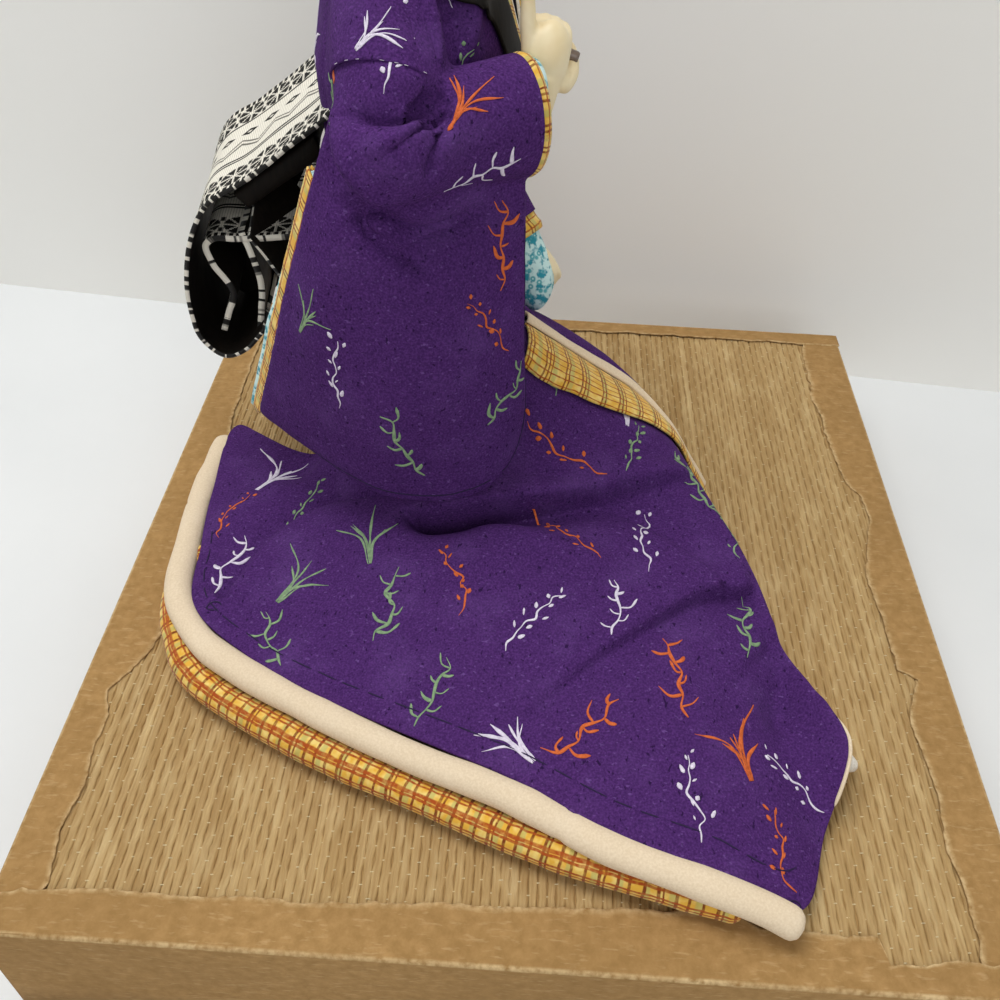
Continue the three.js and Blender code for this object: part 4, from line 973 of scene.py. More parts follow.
def skirtAt(rounds, ups, lift):
    # places on the folded skirt, lifted off it along its normal
    def bare(r, u):
        rings = np.stack([smoothLine(level, r, True) for level in skirtLevels()])
        longer = np.concatenate([2 * rings[:1] - rings[1:2], rings, 2 * rings[-1:] - rings[-2:-1]])
        spans = np.clip(u, 0, 1) * (len(rings) - 1)
        start = np.minimum(spans.astype(int), len(rings) - 2)
        pick = np.arange(len(r))
        places = curveThrough([longer[start + step, pick] for step in range(4)], (spans - start)[:, None])
        return foldCloth(places)
    middle = bare(rounds, ups)
    turnWay = bare(rounds + 0.003, ups) - bare(rounds - 0.003, ups)
    riseWay = bare(rounds, np.minimum(ups + 0.01, 1)) - bare(rounds, ups - 0.01)
    normal = unit(np.cross(turnWay, riseWay))
    normal *= np.sign(normal[:, 2:] + 0.3 * np.sign(normal[:, :1] * middle[:, :1]))
    places = middle + normal * np.asarray(lift)[:, None]
    places[:, 2] = np.maximum(places[:, 2], 1.2)
    return places


def lapBand(name, low, high, columns, profile, finish, node):
    along = evenShares(lap["length"])
    edges = [smoothLine([pair + (0.0,) for pair in side], along)[:, :2] for side in (low, high)]
    across = evenShares(columns)
    pairs = edges[0][:, None] * (1 - across)[None, :, None] + edges[1][:, None] * across[None, :, None]
    lift = np.broadcast_to(profile(across)[None], pairs.shape[:2])
    grid = skirtAt(pairs[..., 0].ravel(), pairs[..., 1].ravel(), lift.ravel()).reshape(pairs.shape[:2] + (3,))
    grid += (0.18 * softNoise(grid, 11.0, 31))[..., None] * (0, 0, 1)
    band = clothFromGrid(name, grid, finish, lap["thick"], offset=0.0)
    pointOut(band)
    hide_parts(node)
    return band


def makeLap():
    rolled = lambda base, swell: (lambda across: base + swell * np.sqrt(np.clip(np.sin(math.pi * across), 0, 1)))
    lapBand("lap_plaid_band", lap["plaidLow"], lap["plaidHigh"], lap["bandColumns"], rolled(1.1, 1.7), edgePlaid,
            "front_panel_plaid")
    lapBand("lap_cream_edge", lap["plaidHigh"], lap["creamHigh"], lap["bandColumns"], rolled(1.9, 1.8), creamCrepe,
            "front_panel_edge")
    end = [(lap["panelEnd"], up) for _, up in lap["creamHigh"]]
    return lapBand("lap_panel", lap["creamHigh"], end, lap["panelColumns"],
                   lambda across: 2.0 + 1.4 * smoothStep(across, 0, 0.06),
                   purpleCrepe, "front_panel")


lapCloth = makeLap()


# garment shells: fused tubes opened at their ends, then given the cloth's thickness

def openShell(obj, cuts):
    work = bmesh.new()
    work.from_mesh(obj.data)
    for place, way, keep in cuts:
        near = {v: keep is None or keep(toDoll(v.co)) for v in work.verts}
        geometry = [v for v in work.verts if near[v]]
        for items in (work.edges, work.faces):
            geometry += [item for item in items if all(near[v] for v in item.verts)]
        bmesh.ops.bisect_plane(work, geom=geometry, plane_co=toWorld(place), plane_no=Vector(way), clear_outer=True)
    work.to_mesh(obj.data)
    work.free()
    obj.data.polygons.foreach_set("use_smooth", [True] * len(obj.data.polygons))


def within(middle, reach, aside=-1.0):
    # what a cut takes: only places this near, and this far out to a side
    return lambda place: np.linalg.norm(place - middle) < reach and abs(place[1]) > aside


sleeves = {
    "step": 3.0, "sides": 30, "bagGrid": (48, 54), "rim": 3.0, "bulge": 0.35, "shoulderReach": 24.0,
    "right": {
        "shoulder": (-4, -36, 192), "elbow": (0, -60, 166), "wrist": (32.6, -38.6, 166.5),
        "girth": (14.5, 17, 16.5), "mouth": (0.85, 1.06), "lining": (2.6, 1.6, 3.6), "belly": 5.5,
        "mouthReach": 22.5, "armhole": 36.0,
        "bagTop": [(-18, -50, 171), (-10, -57, 160), (5, -58, 152), (22, -47, 152), (35, -38, 151)],
        "bagBottom": [(-55, -41, 56), (-33, -59, 55), (-4, -73, 48), (26, -68, 48.5), (39, -50, 62)],
        "folds": [  # points along it, width, height
            ([(13, -58, 179), (6, -69, 178.5), (-3, -71.5, 178), (-13, -66, 176)], 2.8, -5.4),
            ([(11, -62, 182), (3, -64, 186), (-8, -60, 186)], 3.5, 1.2),
            ([(13, -60, 179), (7, -71.5, 175), (-2, -76, 169)], 2.4, -4.6),
            ([(9, -67, 178), (3, -73, 174), (-5, -75.5, 171)], 3.0, 2.4),
            ([(13.6, -61, 178), (12.4, -70, 170), (10.6, -73, 160)], 2.2, -4.8),
            ([(16, -64, 175), (16, -69, 170), (14.5, -70, 163)], 3.5, 1.8),
            ([(-16, -62, 178), (-14, -68, 170), (-9, -74, 163), (-4, -75.5, 157), (4, -72, 152)], 3.4, 2.2),
            ([(-20, -56, 172), (-18, -61, 162), (-14, -64, 153)], 3.4, -2.5),
            ([(-10, -66, 146), (4, -68, 143), (18, -62, 144), (31, -50, 146)], 4.0, -5.5),
            ([(-12, -66, 149), (-2, -70, 140), (12, -69, 132)], 3.6, -4.5),
            ([(-2, -70, 133), (10, -70, 127), (20, -67, 124)], 6.0, 1.4),
            ([(-16, -64, 150), (-22, -63, 120), (-28, -62, 90)], 7.0, 1.3),
            ([(-4, -70, 140), (-8, -73, 110), (-10, -75, 80)], 8.0, -1.4),
            ([(12, -68, 138), (16, -71, 105), (16, -74, 75)], 9.0, 1.4),
            ([(30, -54, 140), (31, -59, 110), (30, -64, 75)], 6.0, -1.0),
        ],
        "seam": [(39, -48, 137), (39.5, -50, 113), (39.5, -52.5, 84), (36, -58, 61), (25, -68.5, 54), (6, -77, 52),
                 (-14, -75, 54), (-34, -66, 57)],
    },
    "left": {
        "shoulder": (-4, 36, 192), "elbow": (-2, 60, 130), "wrist": (26.5, 43, 88), "girth": (14.5, 17, 14.5),
        "mouth": (0.9, 1.1), "lining": (7.0, 35.0, 0.0), "belly": 2.0, "mouthReach": 30.0, "armhole": 43.0,
        "bagTop": [(-16, 64, 122), (-4, 68, 116), (10, 62, 104), (20, 56, 94), (29, 51, 86)],
        "bagBottom": [(-30, 66, 64), (-8, 74, 62), (14, 70, 62), (32, 58, 62), (46, 42, 63)],
        "folds": [
            ([(10, 50, 138), (4, 62, 138), (-8, 68, 134)], 3.0, -2.4),
            ([(12, 52, 132), (8, 64, 128), (0, 72, 122)], 2.6, -2.0),
            ([(12, 54, 130), (16, 62, 122), (18, 66, 112)], 3.2, 1.6),
            ([(-16, 60, 150), (-10, 66, 140), (2, 66, 142)], 4.0, 1.5),
            ([(-18, 56, 170), (-8, 62, 166), (6, 58, 168)], 4.0, -1.2),
            ([(-14, 70, 110), (-14, 74, 90), (-16, 74, 72)], 6.0, 1.2),
            ([(4, 73, 104), (6, 76, 88), (8, 76, 72)], 6.0, -1.2),
            ([(20, 64, 90), (22, 68, 80), (24, 68, 70)], 5.0, 1.0),
        ],
        "seam": [(30, 54, 84), (40, 52, 74), (44, 48, 67), (32, 62, 66), (14, 73, 66), (-8, 77, 66), (-24, 71, 67)],
    },
    "voxel": 1.05, "ease": 11, "thick": 1.0, "bag": 3.6,
}


def slabShell(grid, half):
    normal = gridNormals(grid)
    rows, columns = grid.shape[:2]
    front, back = grid + normal * half[..., None], grid - normal * half[..., None]
    count = rows * columns
    faces = gridFaces(rows, columns)
    faces += [tuple(v + count for v in face[::-1]) for face in gridFaces(rows, columns)]
    rim = list(range(columns)) + [r * columns + columns - 1 for r in range(1, rows)]
    rim += [(rows - 1) * columns + c for c in range(columns - 2, -1, -1)]
    rim += [r * columns for r in range(rows - 2, 0, -1)]
    for at, here in enumerate(rim):
        after = rim[(at + 1) % len(rim)]
        faces.append((after, here, here + count, after + count))
    return np.concatenate([front.reshape(-1, 3), back.reshape(-1, 3)]), faces


def bagPlaces(sleeve):
    across, down = (evenShares(count) for count in sleeves["bagGrid"])
    top, bottom = smoothLine(sleeve["bagTop"], across), smoothLine(sleeve["bagBottom"], across)
    grid = top[:, None] * (1 - down)[None, :, None] + bottom[:, None] * down[None, :, None]
    grid[..., 1] += np.sign(bottom[0, 1]) * sleeve["belly"] * np.sin(math.pi * down)[None]
    return grid


def makeSleeve(side):
    sleeve = sleeves[side]
    shoulder, elbow, wrist = (np.array(sleeve[key], float) for key in ("shoulder", "elbow", "wrist"))
    aim = unit(wrist - elbow)
    upper = evenLine([shoulder, (shoulder + elbow) / 2, elbow], sleeves["step"])
    lower = evenLine([elbow, (elbow + wrist) / 2, wrist + aim * 4], sleeves["step"])
    girth = sleeve["girth"]
    share = evenShares(len(lower))
    flat, tall = sleeve["mouth"]
    squash = (np.interp(share, (0, 0.3, 1), (1, 0.86, flat)), np.interp(share, (0, 0.4, 1), (1, 0.98, tall)))
    grid = bagPlaces(sleeve)
    rows, columns = grid.shape[:2]
    edge = np.minimum(np.minimum(np.arange(rows), np.arange(rows)[::-1])[:, None] / sleeves["rim"],
                      np.minimum(np.arange(columns) + 20, np.arange(columns)[::-1])[None] / sleeves["rim"])
    half = sleeves["bag"] * (0.45 + 0.55 * np.sqrt(np.clip(1 - (1 - np.minimum(edge, 1)) ** 2, 0, 1)))
    rise, bulge = 1 - evenShares(columns), np.sin(math.pi * evenShares(rows))
    half *= 1 + sleeves["bulge"] * rise[None] * bulge[:, None]
    shells = [ringPath(upper, np.linspace(girth[0], girth[1], len(upper)), sleeves["sides"]),
              eggShell(elbow, (girth[1],) * 3),
              ringPath(lower, np.linspace(girth[1], girth[2], len(lower)), sleeves["sides"], squash),
              slabShell(grid, half)]
    cloth = fuseShells(side + "_sleeve_cloth", shells, sleeves["voxel"], sleeves["ease"], purpleCrepe)
    pressFolds(cloth, sleeve["folds"])
    places = vertexPlaces(cloth)
    ripple = 0.35 * softNoise(places, 22.0, 41) + 0.12 * softNoise(places, 8.0, 42)
    movePlaces(cloth, places + vertexNormals(cloth) * ripple[:, None])
    openShell(cloth, [
        (wrist, aim, within(wrist, sleeve["mouthReach"])),
        (shoulder + unit(elbow - shoulder) * 2, unit(shoulder - elbow), within(shoulder, sleeves["shoulderReach"])),
    ])
    thicken(cloth, sleeves["thick"])
    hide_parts(side + "_sleeve")
    return cloth


rightSleeveCloth = makeSleeve("right")
leftSleeveCloth = makeSleeve("left")


# bodice with its dropped shoulders, and the crossed collars

bodice = {
    "rows": (76, 84, 92, 104, 116, 130, 144, 156, 168, 176, 184, 192, 198, 203, 206), "outside": 2.8,
    "voxel": 1.5, "ease": 8, "thick": 1.0, "drop": 23.0, "top": 203.5, "bottom": 78.0, "neck": (26.0, 196.0),
    # radii, and the armhole's cut
    "shoulder": ((0, 0.4, 1), (12.5, 15.2, 16.9)), "tilt": (0.2, 0, 0), "reach": 27.0,
    "folds": [
        ([(11, -57, 183), (5, -48, 195), (-2, -38, 206)], 2.8, -4.2),
        ([(5, -40, 204), (11, -48, 192), (14, -56, 182)], 3.0, 2.6),
        ([(15, -52, 181), (16, -41, 192), (14, -34, 203)], 2.8, -4.2),
        ([(20, -29, 198), (21, -33, 188), (19, -44, 178)], 3.2, 2.2),
        ([(24, -27, 180), (27, -24, 160), (26, -22, 138)], 4.0, -1.0),
        ([(2, 40, 200), (8, 50, 188), (11, 54, 176)], 3.0, -2.2),
        ([(17, 33, 194), (17, 38, 184), (16, 44, 174)], 3.0, -2.2),
        ([(-24, -22, 190), (-27, -24, 165), (-27, -22, 140)], 5.0, -1.2),
        ([(-24, 22, 190), (-27, 24, 165), (-27, 22, 140)], 5.0, -1.2),
        ([(-27, 2, 196), (-30, 0, 170), (-30, 0, 142)], 6.0, 1.0),
    ],
}


def makeBodice():
    rings = np.stack([trunkRing(height, bodice["outside"]) for height in bodice["rows"]])
    sides = rings.shape[1]
    faces = gridFaces(len(rings), sides, closeColumns=True)
    faces += [tuple(range(sides))[::-1], tuple(range((len(rings) - 1) * sides, len(rings) * sides))]
    shells, cuts = [(rings, faces)], []
    for side in ("right", "left"):
        shoulder, elbow = (np.array(sleeves[side][key], float) for key in ("shoulder", "elbow"))
        aim = unit(elbow - shoulder)
        inner = shoulder * (1, 0.4, 1) + (0, 0, 3)
        path = evenLine([inner, shoulder, shoulder + aim * (bodice["drop"] + 4)], 2.5)
        radii = np.interp(evenShares(len(path)), *bodice["shoulder"])
        shells.append(ringPath(path, radii, 36))
        end = shoulder + aim * (bodice["drop"] - 3)
        cuts.append((end, unit(aim - bodice["tilt"]), within(end, bodice["reach"], sleeves[side]["armhole"])))
    cloth = fuseShells("bodice_cloth", shells, bodice["voxel"], bodice["ease"], purpleCrepe)
    pressFolds(cloth, bodice["folds"])
    places = vertexPlaces(cloth)
    movePlaces(cloth, places + vertexNormals(cloth) * (0.3 * softNoise(places, 20.0, 51))[:, None])
    aside, above = bodice["neck"]
    cuts += [((0, 0, bodice["top"]), (0, 0, 1), lambda place: abs(place[1]) < aside and place[2] > above),
             ((0, 0, bodice["bottom"]), (0, 0, -1), None)]
    openShell(cloth, cuts)
    thicken(cloth, bodice["thick"])
    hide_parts("kimono_bodice")
    return cloth


bodiceCloth = makeBodice()


def clothTree(obj):
    work = bmesh.new()
    work.from_mesh(obj.data)
    tree = BVHTree.FromBMesh(work)
    work.free()
    return tree


def layOn(tree, places, lift, only):
    out = places.copy()
    for at in np.flatnonzero(only):
        spot, normal, _, _ = tree.find_nearest(toWorld(places[at]))
        out[at] = toDoll(spot) + np.array(normal) * lift
    return out


collars = {
    "line": [((-19, 0, 212), (-0.8, 0, -0.6)), ((-13, -19.5, 210.5), (-0.5, -0.62, -0.6)),
             ((4, -27.5, 207), (0, -0.8, -0.6)),
             ((21, -21, 200), (0.35, -0.72, -0.6)), ((30, -12, 184), (0.3, -0.85, -0.43)),
             ((34.2, -1, 166), (0.12, -0.88, -0.46)),
             ((34, 8, 150), (0, -0.88, -0.47)), ((31.5, 14, 134), (0, -0.88, -0.47))],
    "bands": [("black", -0.2, 13.2, 1.5), ("plaid", -4.6, 0.4, 1.0), ("white", -7.4, -4.0, 0.6)],  # from, to, lift
    "thick": 0.9, "length": 120, "columns": 14,
    "opening": ((166, 184, 200, 207), (1, 12, 21, 27.5)),  # heights and half widths of the white between them
    "front": (6, 18), "below": (192, 202),  # where the bands come to lie on the bodice
}


blackSatin = twoTone("blackSatin", ("#0d0a08", "#1a140f"), 0.6, 900, 2, (0.35, 0.75), (0.08, 0.5),
                     stretch=(1, 1, 0.06), specular=0.12)
whiteCloth = crepe("whiteCloth", "#efe9dd", "#ddd4c4", "#f7f3ea", sheen=0.1)


def insideCollars(place):
    # where the white under-robe shows between the crossed collars
    x, y, z = place
    heights, widths = collars["opening"]
    return x > 0 and z > heights[0] and abs(y) < np.interp(z, heights, widths)


def showUnderRobe():
    bodiceCloth.data.materials.append(whiteCloth)
    for face in bodiceCloth.data.polygons:
        if insideCollars(toDoll(face.center)):
            face.material_index = 1


showUnderRobe()


def makeCollars():
    tree = clothTree(bodiceCloth)
    finishes = {"black": blackSatin, "plaid": edgePlaid, "white": whiteCloth}
    along = evenShares(collars["length"])
    line = smoothLine([place for place, _ in collars["line"]], along)
    out = unit(smoothLine([way for _, way in collars["line"]], along))
    front, below = collars["front"], collars["below"]
    for band, near, far, lift in collars["bands"]:
        across = np.linspace(near, far, collars["columns"])
        pieces = []
        for way, extra in ((1, 0.0), (-1, 1.1)):  # the left side crosses over the right
            grid = line[:, None] + out[:, None] * across[None, :, None]
            grid = grid * (1, way, 1)
            flat = grid.reshape(-1, 3)
            laid = layOn(tree, flat, lift + extra * 0.9, (flat[:, 0] > front[0]) & (flat[:, 2] < below[1]))
            share = (smoothStep(flat[:, 0], *front) * (1 - smoothStep(flat[:, 2], *below)))[:, None]
            pieces.append((flat * (1 - share) + laid * share).reshape(grid.shape))
        pieces[1] = pieces[1][::-1]
        rows, columns = pieces[0].shape[:2]
        points, faces = joinShells([(piece, gridFaces(rows, columns)) for piece in pieces])
        collar = addMesh("collar_" + band + "_band", points, faces, finishes[band])
        setNap(collar, *pieces)
        thicken(collar, collars["thick"], 0.0)
        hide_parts("collar_" + band)
    print("collars crossed")


makeCollars()


# sash: band, drum bow, folded tail and the pillow that carries them

sash = {
    "band": (78.6, 132.0), "outside": 6.3, "bandThick": 1.6, "sides": 160, "bandRows": 44,
    "bow": [(-23, 161), (-40, 147), (-56, 135), (-68, 127), (-76, 112), (-80, 92), (-78, 74), (-70, 67), (-61, 71),
            (-54, 79)],
    "tail": [(-29, 117), (-46, 114.5), (-60, 113.2), (-69, 112.5), (-73, 109), (-71.5, 101), (-66.5, 91), (-69, 83),
             (-72, 75)],
    # the middle, reach and side of the black sheet inside the drum, which is painted shade standing in for the
    # shade there
    "splay": 6.0, "sag": 1.2, "shadePanelMiddle": (-55.0, 100.0), "shadePanelReach": 0.94, "shadePanelSide": 12.0,
    "leg": [(-60, 114.5), (-57.5, 105), (-56, 95), (-57.5, 84), (-59, 75)],
    "inner": [(-57, 113), (-53.8, 108.8), (-49.9, 102.2), (-45.5, 95), (-40.5, 87)], "innerRise": (0.78, 0.62),
    "innerWidth": 34.0,
    "bowSide": (-26.0, 34.0), "tailSide": (-20.0, 33.0), "columns": 64, "thick": 1.5, "tailThick": 2.2,
    "ground": "#e6e1d3", "shadow": "#8f897b", "ink": "#0f0d0a", "grey": "#66635a", "thread": "#f4f0e4", "rib": 0.95,
    "lines": (19.6, 21.4, 46.0), "zigzag": (28.5, 2.6, 15.0), "rosette": (7.2, 12.6), "ovals": (38.0, 10.0),
}


def brocade(name, width):
    finish, tree, shader = startFinish(name, 0.7, 0.0, 0.15)

    def do(operation, a, b=0.0):
        return sums(tree, operation, a, b)

    def apart(a, b):
        return do("ABSOLUTE", do("SUBTRACT", a, b))

    def near(value, middle, half):
        return between(tree, apart(value, middle), half * 0.8, half * 1.2, 1, 0)

    def stepped(value, size):
        return do("MULTIPLY", do("FLOOR", do("DIVIDE", value, size)), size)

    _, over, along = weavePlaces(tree)
    over, along = do("MULTIPLY", over, 1000.0), do("MULTIPLY", along, 1000.0)  # in mm
    edge = do("MINIMUM", over, do("SUBTRACT", width, over))
    rib, ink = sash["rib"], sash["ink"]
    step = stepped(along, rib / 2)
    ridge = apart(do("FRACT", do("DIVIDE", along, rib)), 0.5)

    def wave(period, shift=0.0):
        return do("MULTIPLY", apart(do("FRACT", do("ADD", do("DIVIDE", step, period), shift)), 0.5), 2.0)

    colour = tint(tree, sash["ground"], sash["shadow"], ridge, 0.33, 0.46, 0, 0.8)
    colour = tint(tree, colour, sash["thread"], grain(tree, 1500, 2), 0.3, 0.7, 0, 0.35)
    middle, swing, period = sash["zigzag"]
    zig = do("ADD", middle - swing, do("MULTIPLY", wave(period), 2 * swing))
    zag = do("MAXIMUM", near(over, zig, 0.6), near(over, do("ADD", zig, 2.3), 0.45))
    colour = mixShade(tree, zag, colour, sash["grey"])
    row, oval = sash["ovals"]
    leaf = do("ADD", do("DIVIDE", apart(over, row), 2.6), wave(oval, 0.25))
    colour = tint(tree, colour, ink, leaf, 0.72, 0.8, 1, 0)
    colour = tint(tree, colour, sash["ground"], leaf, 0.2, 0.3, 1, 0)
    for line in sash["lines"]:
        colour = mixShade(tree, near(over, line, 0.55), colour, ink)
    half, repeat = sash["rosette"]
    # from the middle of a rosette, along and across the cloth
    aside = do("MULTIPLY", wave(repeat), repeat / 2)
    away = apart(stepped(edge, 0.7), half)
    reach = do("SQRT", do("ADD", do("MULTIPLY", aside, aside), do("MULTIPLY", away, away)))
    flower = between(tree, reach, 5.5, 5.9, 1, 0)
    for slit in (aside, away, do("SUBTRACT", aside, away)):
        flower = do("MULTIPLY", flower, between(tree, do("ABSOLUTE", slit), 0.3, 0.55))
    bead = near(do("SUBTRACT", repeat / 2, aside), 0.0, 0.8)
    bead = do("MULTIPLY", bead, between(tree, apart(away, 3.6), 1.2, 1.6, 1, 0))
    colour = mixShade(tree, do("MAXIMUM", flower, bead), colour, ink)
    rim = do("MULTIPLY", between(tree, edge, 1.8, 2.2, 1, 0), between(tree, wave(2.6), 0.3, 0.42))
    colour = mixShade(tree, rim, colour, ink)
    wire(tree, shader, colour, do("SUBTRACT", 0.5, ridge), 0.16, 0.8)
    return finish


def sashSheet(profile, side, seed):
    line = evenLine([(x, 0.0, z) for x, z in profile], 1.1)
    share = evenShares(sash["columns"])
    grid = np.empty((len(line), len(share), 3))
    grid[..., 0] = line[:, None, 0] - share[None] * sash["splay"]
    grid[..., 1] = side[0] + (side[1] - side[0]) * share[None]
    grid[..., 2] = line[:, None, 2] + (share * sash["splay"] / 2 - sash["sag"] * np.sin(math.pi * share))[None]
    normal = gridNormals(grid)
    grid += normal * (0.5 * softNoise(grid, 24.0, seed) + 0.12 * softNoise(grid, 7.0, seed + 1))[..., None]
    return grid


def rimWeave(name, period, dark):
    # the folded edge of the sash: white with blocks of black
    finish, tree, shader = startFinish(name, 0.6, 0.1, 0.3)
    weave, _, along = weavePlaces(tree)
    shift = sums(tree, "MULTIPLY", grain(tree, 170, 2, where=weave), 2.2)
    turn = sums(tree, "FRACT", sums(tree, "ADD", sums(tree, "DIVIDE", along, period * mm), shift))
    colour = tint(tree, sash["ground"], sash["ink"], turn, dark - 0.04, dark + 0.04, 1, 0)
    wire(tree, shader, colour, grain(tree, 1100, 2), 0.1, 0.5)
    return finish


def lineCloth(obj, rim, thick):
    for finish in (blackSatin, rim):
        obj.data.materials.append(finish)
    shell = thicken(obj, thick).modifiers["thickness"]
    shell.material_offset = 1
    shell.material_offset_rim = 2


def innerFold():
    # a fold of the sash that faces out between the tail and the doll's back
    line = evenLine([(x, sash["tailSide"][0] - 1, z) for x, z in sash["inner"]], 1.1)
    back, rise = sash["innerRise"]
    share = np.linspace(0, sash["innerWidth"], sash["columns"])
    grid = line[:, None] + share[None, :, None] * np.array((0.06, back, rise))
    return grid + gridNormals(grid) * (0.5 * softNoise(grid, 20.0, 66))[..., None]


def makeSash():
    low, high = sash["band"]
    turn = np.linspace(0, 2 * math.pi, sash["sides"], endpoint=False)
    rows = sash["bandRows"]
    heights = np.linspace(low, high, rows)
    depth, width = trunkSize(heights, sash["outside"])
    grid = np.stack([np.cos(turn)[:, None] * depth, np.sin(turn)[:, None] * width,
                     np.broadcast_to(heights, (len(turn), rows))], axis=-1)
    grid += gridNormals(grid, True) * (0.35 * softNoise(grid, 26.0, 61))[..., None]
    band = addMesh("sash_band", grid, gridFaces(len(turn), rows, closeRows=True),
                   brocade("sashBandWeave", high - low))
    setNap(band, grid)
    pointOut(band)
    thicken(band, sash["bandThick"])
    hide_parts("obi_band")
    weave = brocade("sashBowWeave", sash["bowSide"][1] - sash["bowSide"][0])
    fine, broad = rimWeave("sashRimFine", 5.0, 0.7), rimWeave("sashRimBroad", 13.0, 0.3)
    for name, node, grid, rim, thick in (
        ("sash_bow", "obi_bow", sashSheet(sash["bow"], sash["bowSide"], 62), fine, sash["thick"]),
        ("sash_tail", "obi_tail", sashSheet(sash["tail"], sash["tailSide"], 64), broad, sash["tailThick"]),
        ("sash_tail_leg", None, sashSheet(sash["leg"], sash["tailSide"], 68), broad, sash["tailThick"]),
        ("sash_inner_fold", None, innerFold(), broad, sash["thick"]),
    ):
        obj = addMesh(name, grid, gridFaces(*grid.shape[:2]), weave)
        setNap(obj, grid)
        lineCloth(obj, rim, thick)
        if node:
            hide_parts(node)


def makeDrumShadePanel():
    # black satin sheet across the inside of the bow's drum: painted shade, a dark sheet standing in for the shade
    # inside the drum, in the black satin of the sash's lining
    middle = np.array(sash["shadePanelMiddle"])
    rim = evenLine([(x, 0.0, z) for x, z in sash["bow"]], 1.5)[:, [0, 2]]
    share = np.linspace(0.04, sash["shadePanelReach"], 30)
    spokes = middle + (rim - middle)[:, None] * share[None, :, None]
    grid = np.stack([spokes[..., 0], np.full(spokes.shape[:2], sash["shadePanelSide"]), spokes[..., 1]], axis=-1)
    grid[..., 1] += 1.6 * softNoise(grid, 30.0, 69)
    lining = addMesh("sash_drum_shade_panel", grid, gridFaces(*grid.shape[:2]), blackSatin)
    thicken(lining, 0.8, 0.0)


makeSash()
makeDrumShadePanel()


# hidden padding: trunk, arms and legs in plain muslin, and the bow pillow in black satin

muslin = twoTone("muslin", ("#d9cbb0", "#efe5d0"), 0.85, 700, 3, (0.35, 0.7), (0.15, 0.6), sheen=0.1, specular=0.3)


padding = {
    "sink": 1.5, "fill": 0.8,  # how far it lies under the cloth, in mm, and how full it is
    "voxel": {"body_stuffing": 2.5, "right_arm": 1.2, "left_arm": 1.2, "right_leg": 1.6, "left_leg": 1.6},
    "ease": 6, "pillowVoxel": 1.2, "pillowEase": 70,
}


def softCopy(node, name, voxel, ease, finish):
    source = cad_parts[node]
    obj = bpy.data.objects.new(name, source.data.copy())
    obj.matrix_world = source.matrix_world
    bpy.context.scene.collection.objects.link(obj)
    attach(obj, doll)
    fuseSurface(obj, voxel, ease, finish)
    movePlaces(obj, vertexPlaces(obj) - vertexNormals(obj) * padding["sink"])
    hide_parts(node)


for node, voxel in padding["voxel"].items():
    softCopy(node, node + "_muslin", voxel, padding["ease"], muslin)
softCopy("obi_pillow", "obi_pillow_cover", padding["pillowVoxel"], padding["pillowEase"], blackSatin)
print("padding stuffed")


# skin pieces: hands and head

def skinFinish():
    finish, tree, shader = startFinish("paintedSkin", 0.42, specular=0.4, coat=0.08)
    blush = addNode(tree, "Attribute", out="Fac", attribute_name="blush")
    cloud = grain(tree, 90, 3)
    speck = grain(tree, 700, 2)
    colour = tint(tree, "#e9d3a4", "#f2e3bd", cloud, 0.35, 0.7)
    colour = tint(tree, colour, "#cdb98e", speck, 0.68, 0.78, 0, 0.25)
    colour = mixShade(tree, sums(tree, "MULTIPLY", blush, 0.5), colour, "#dd9a84")
    wire(tree, shader, colour, grain(tree, 300, 3), 0.1, 0.35)
    return finish


skin = skinFinish()


def lacquer(name, text, pale, roughness=0.22):
    return twoTone(name, (text, pale), roughness, 160, 3, (0.4, 0.7), (0.05, 0.3), coat=0.5)


darkLacquer = lacquer("darkLacquer", "#4a3a2f", "#6a5646", 0.45)
redLacquer = lacquer("redLacquer", "#7c1712", "#a62a1d")
coral = lacquer("coral", "#b23a24", "#d0583c", 0.3)

hands = {
    "right": {"place": (37, -33.5, 166), "aim": (0.17, 0.22, 0.96), "roll": 0.15, "curl": 1.0,
              "raised": [(35, -31, 180), (33.8, -29.8, 190), (33.2, -28.8, 199)]},
    "left": {"place": (32, 40, 88), "aim": (0.62, -0.3, -0.72), "roll": -1.2, "curl": 0.25},
    "knuckles": ((-4.4, 0.6), (-1.5, 0.0), (1.5, 0.2), (4.3, 1.0)),  # across the hand, and how much lower it sits
    "thumb": [(5.5, 0.5, 7), (8.4, 3.4, 11.5), (8.0, 6.6, 16), (6.0, 8.6, 19.5)],
    "voxel": 0.55, "ease": 9,
}


def placeHand(points, hand):
    aim = unit(np.array(hand["aim"], float))
    turn = Vector((0, 0, 1)).rotation_difference(Vector(aim)).to_matrix() @ Matrix.Rotation(hand["roll"], 3, "Z")
    return np.asarray(points, float).reshape(-1, 3) @ np.array(turn).T + hand["place"]


def fingerShell(points, radius, ease, swell):
    path = evenLine(points, 0.5)
    return ringPath(path, roundEnds(path, radius, ease) * np.linspace(*swell, len(path)), 18, lean=(1, 0, 0))


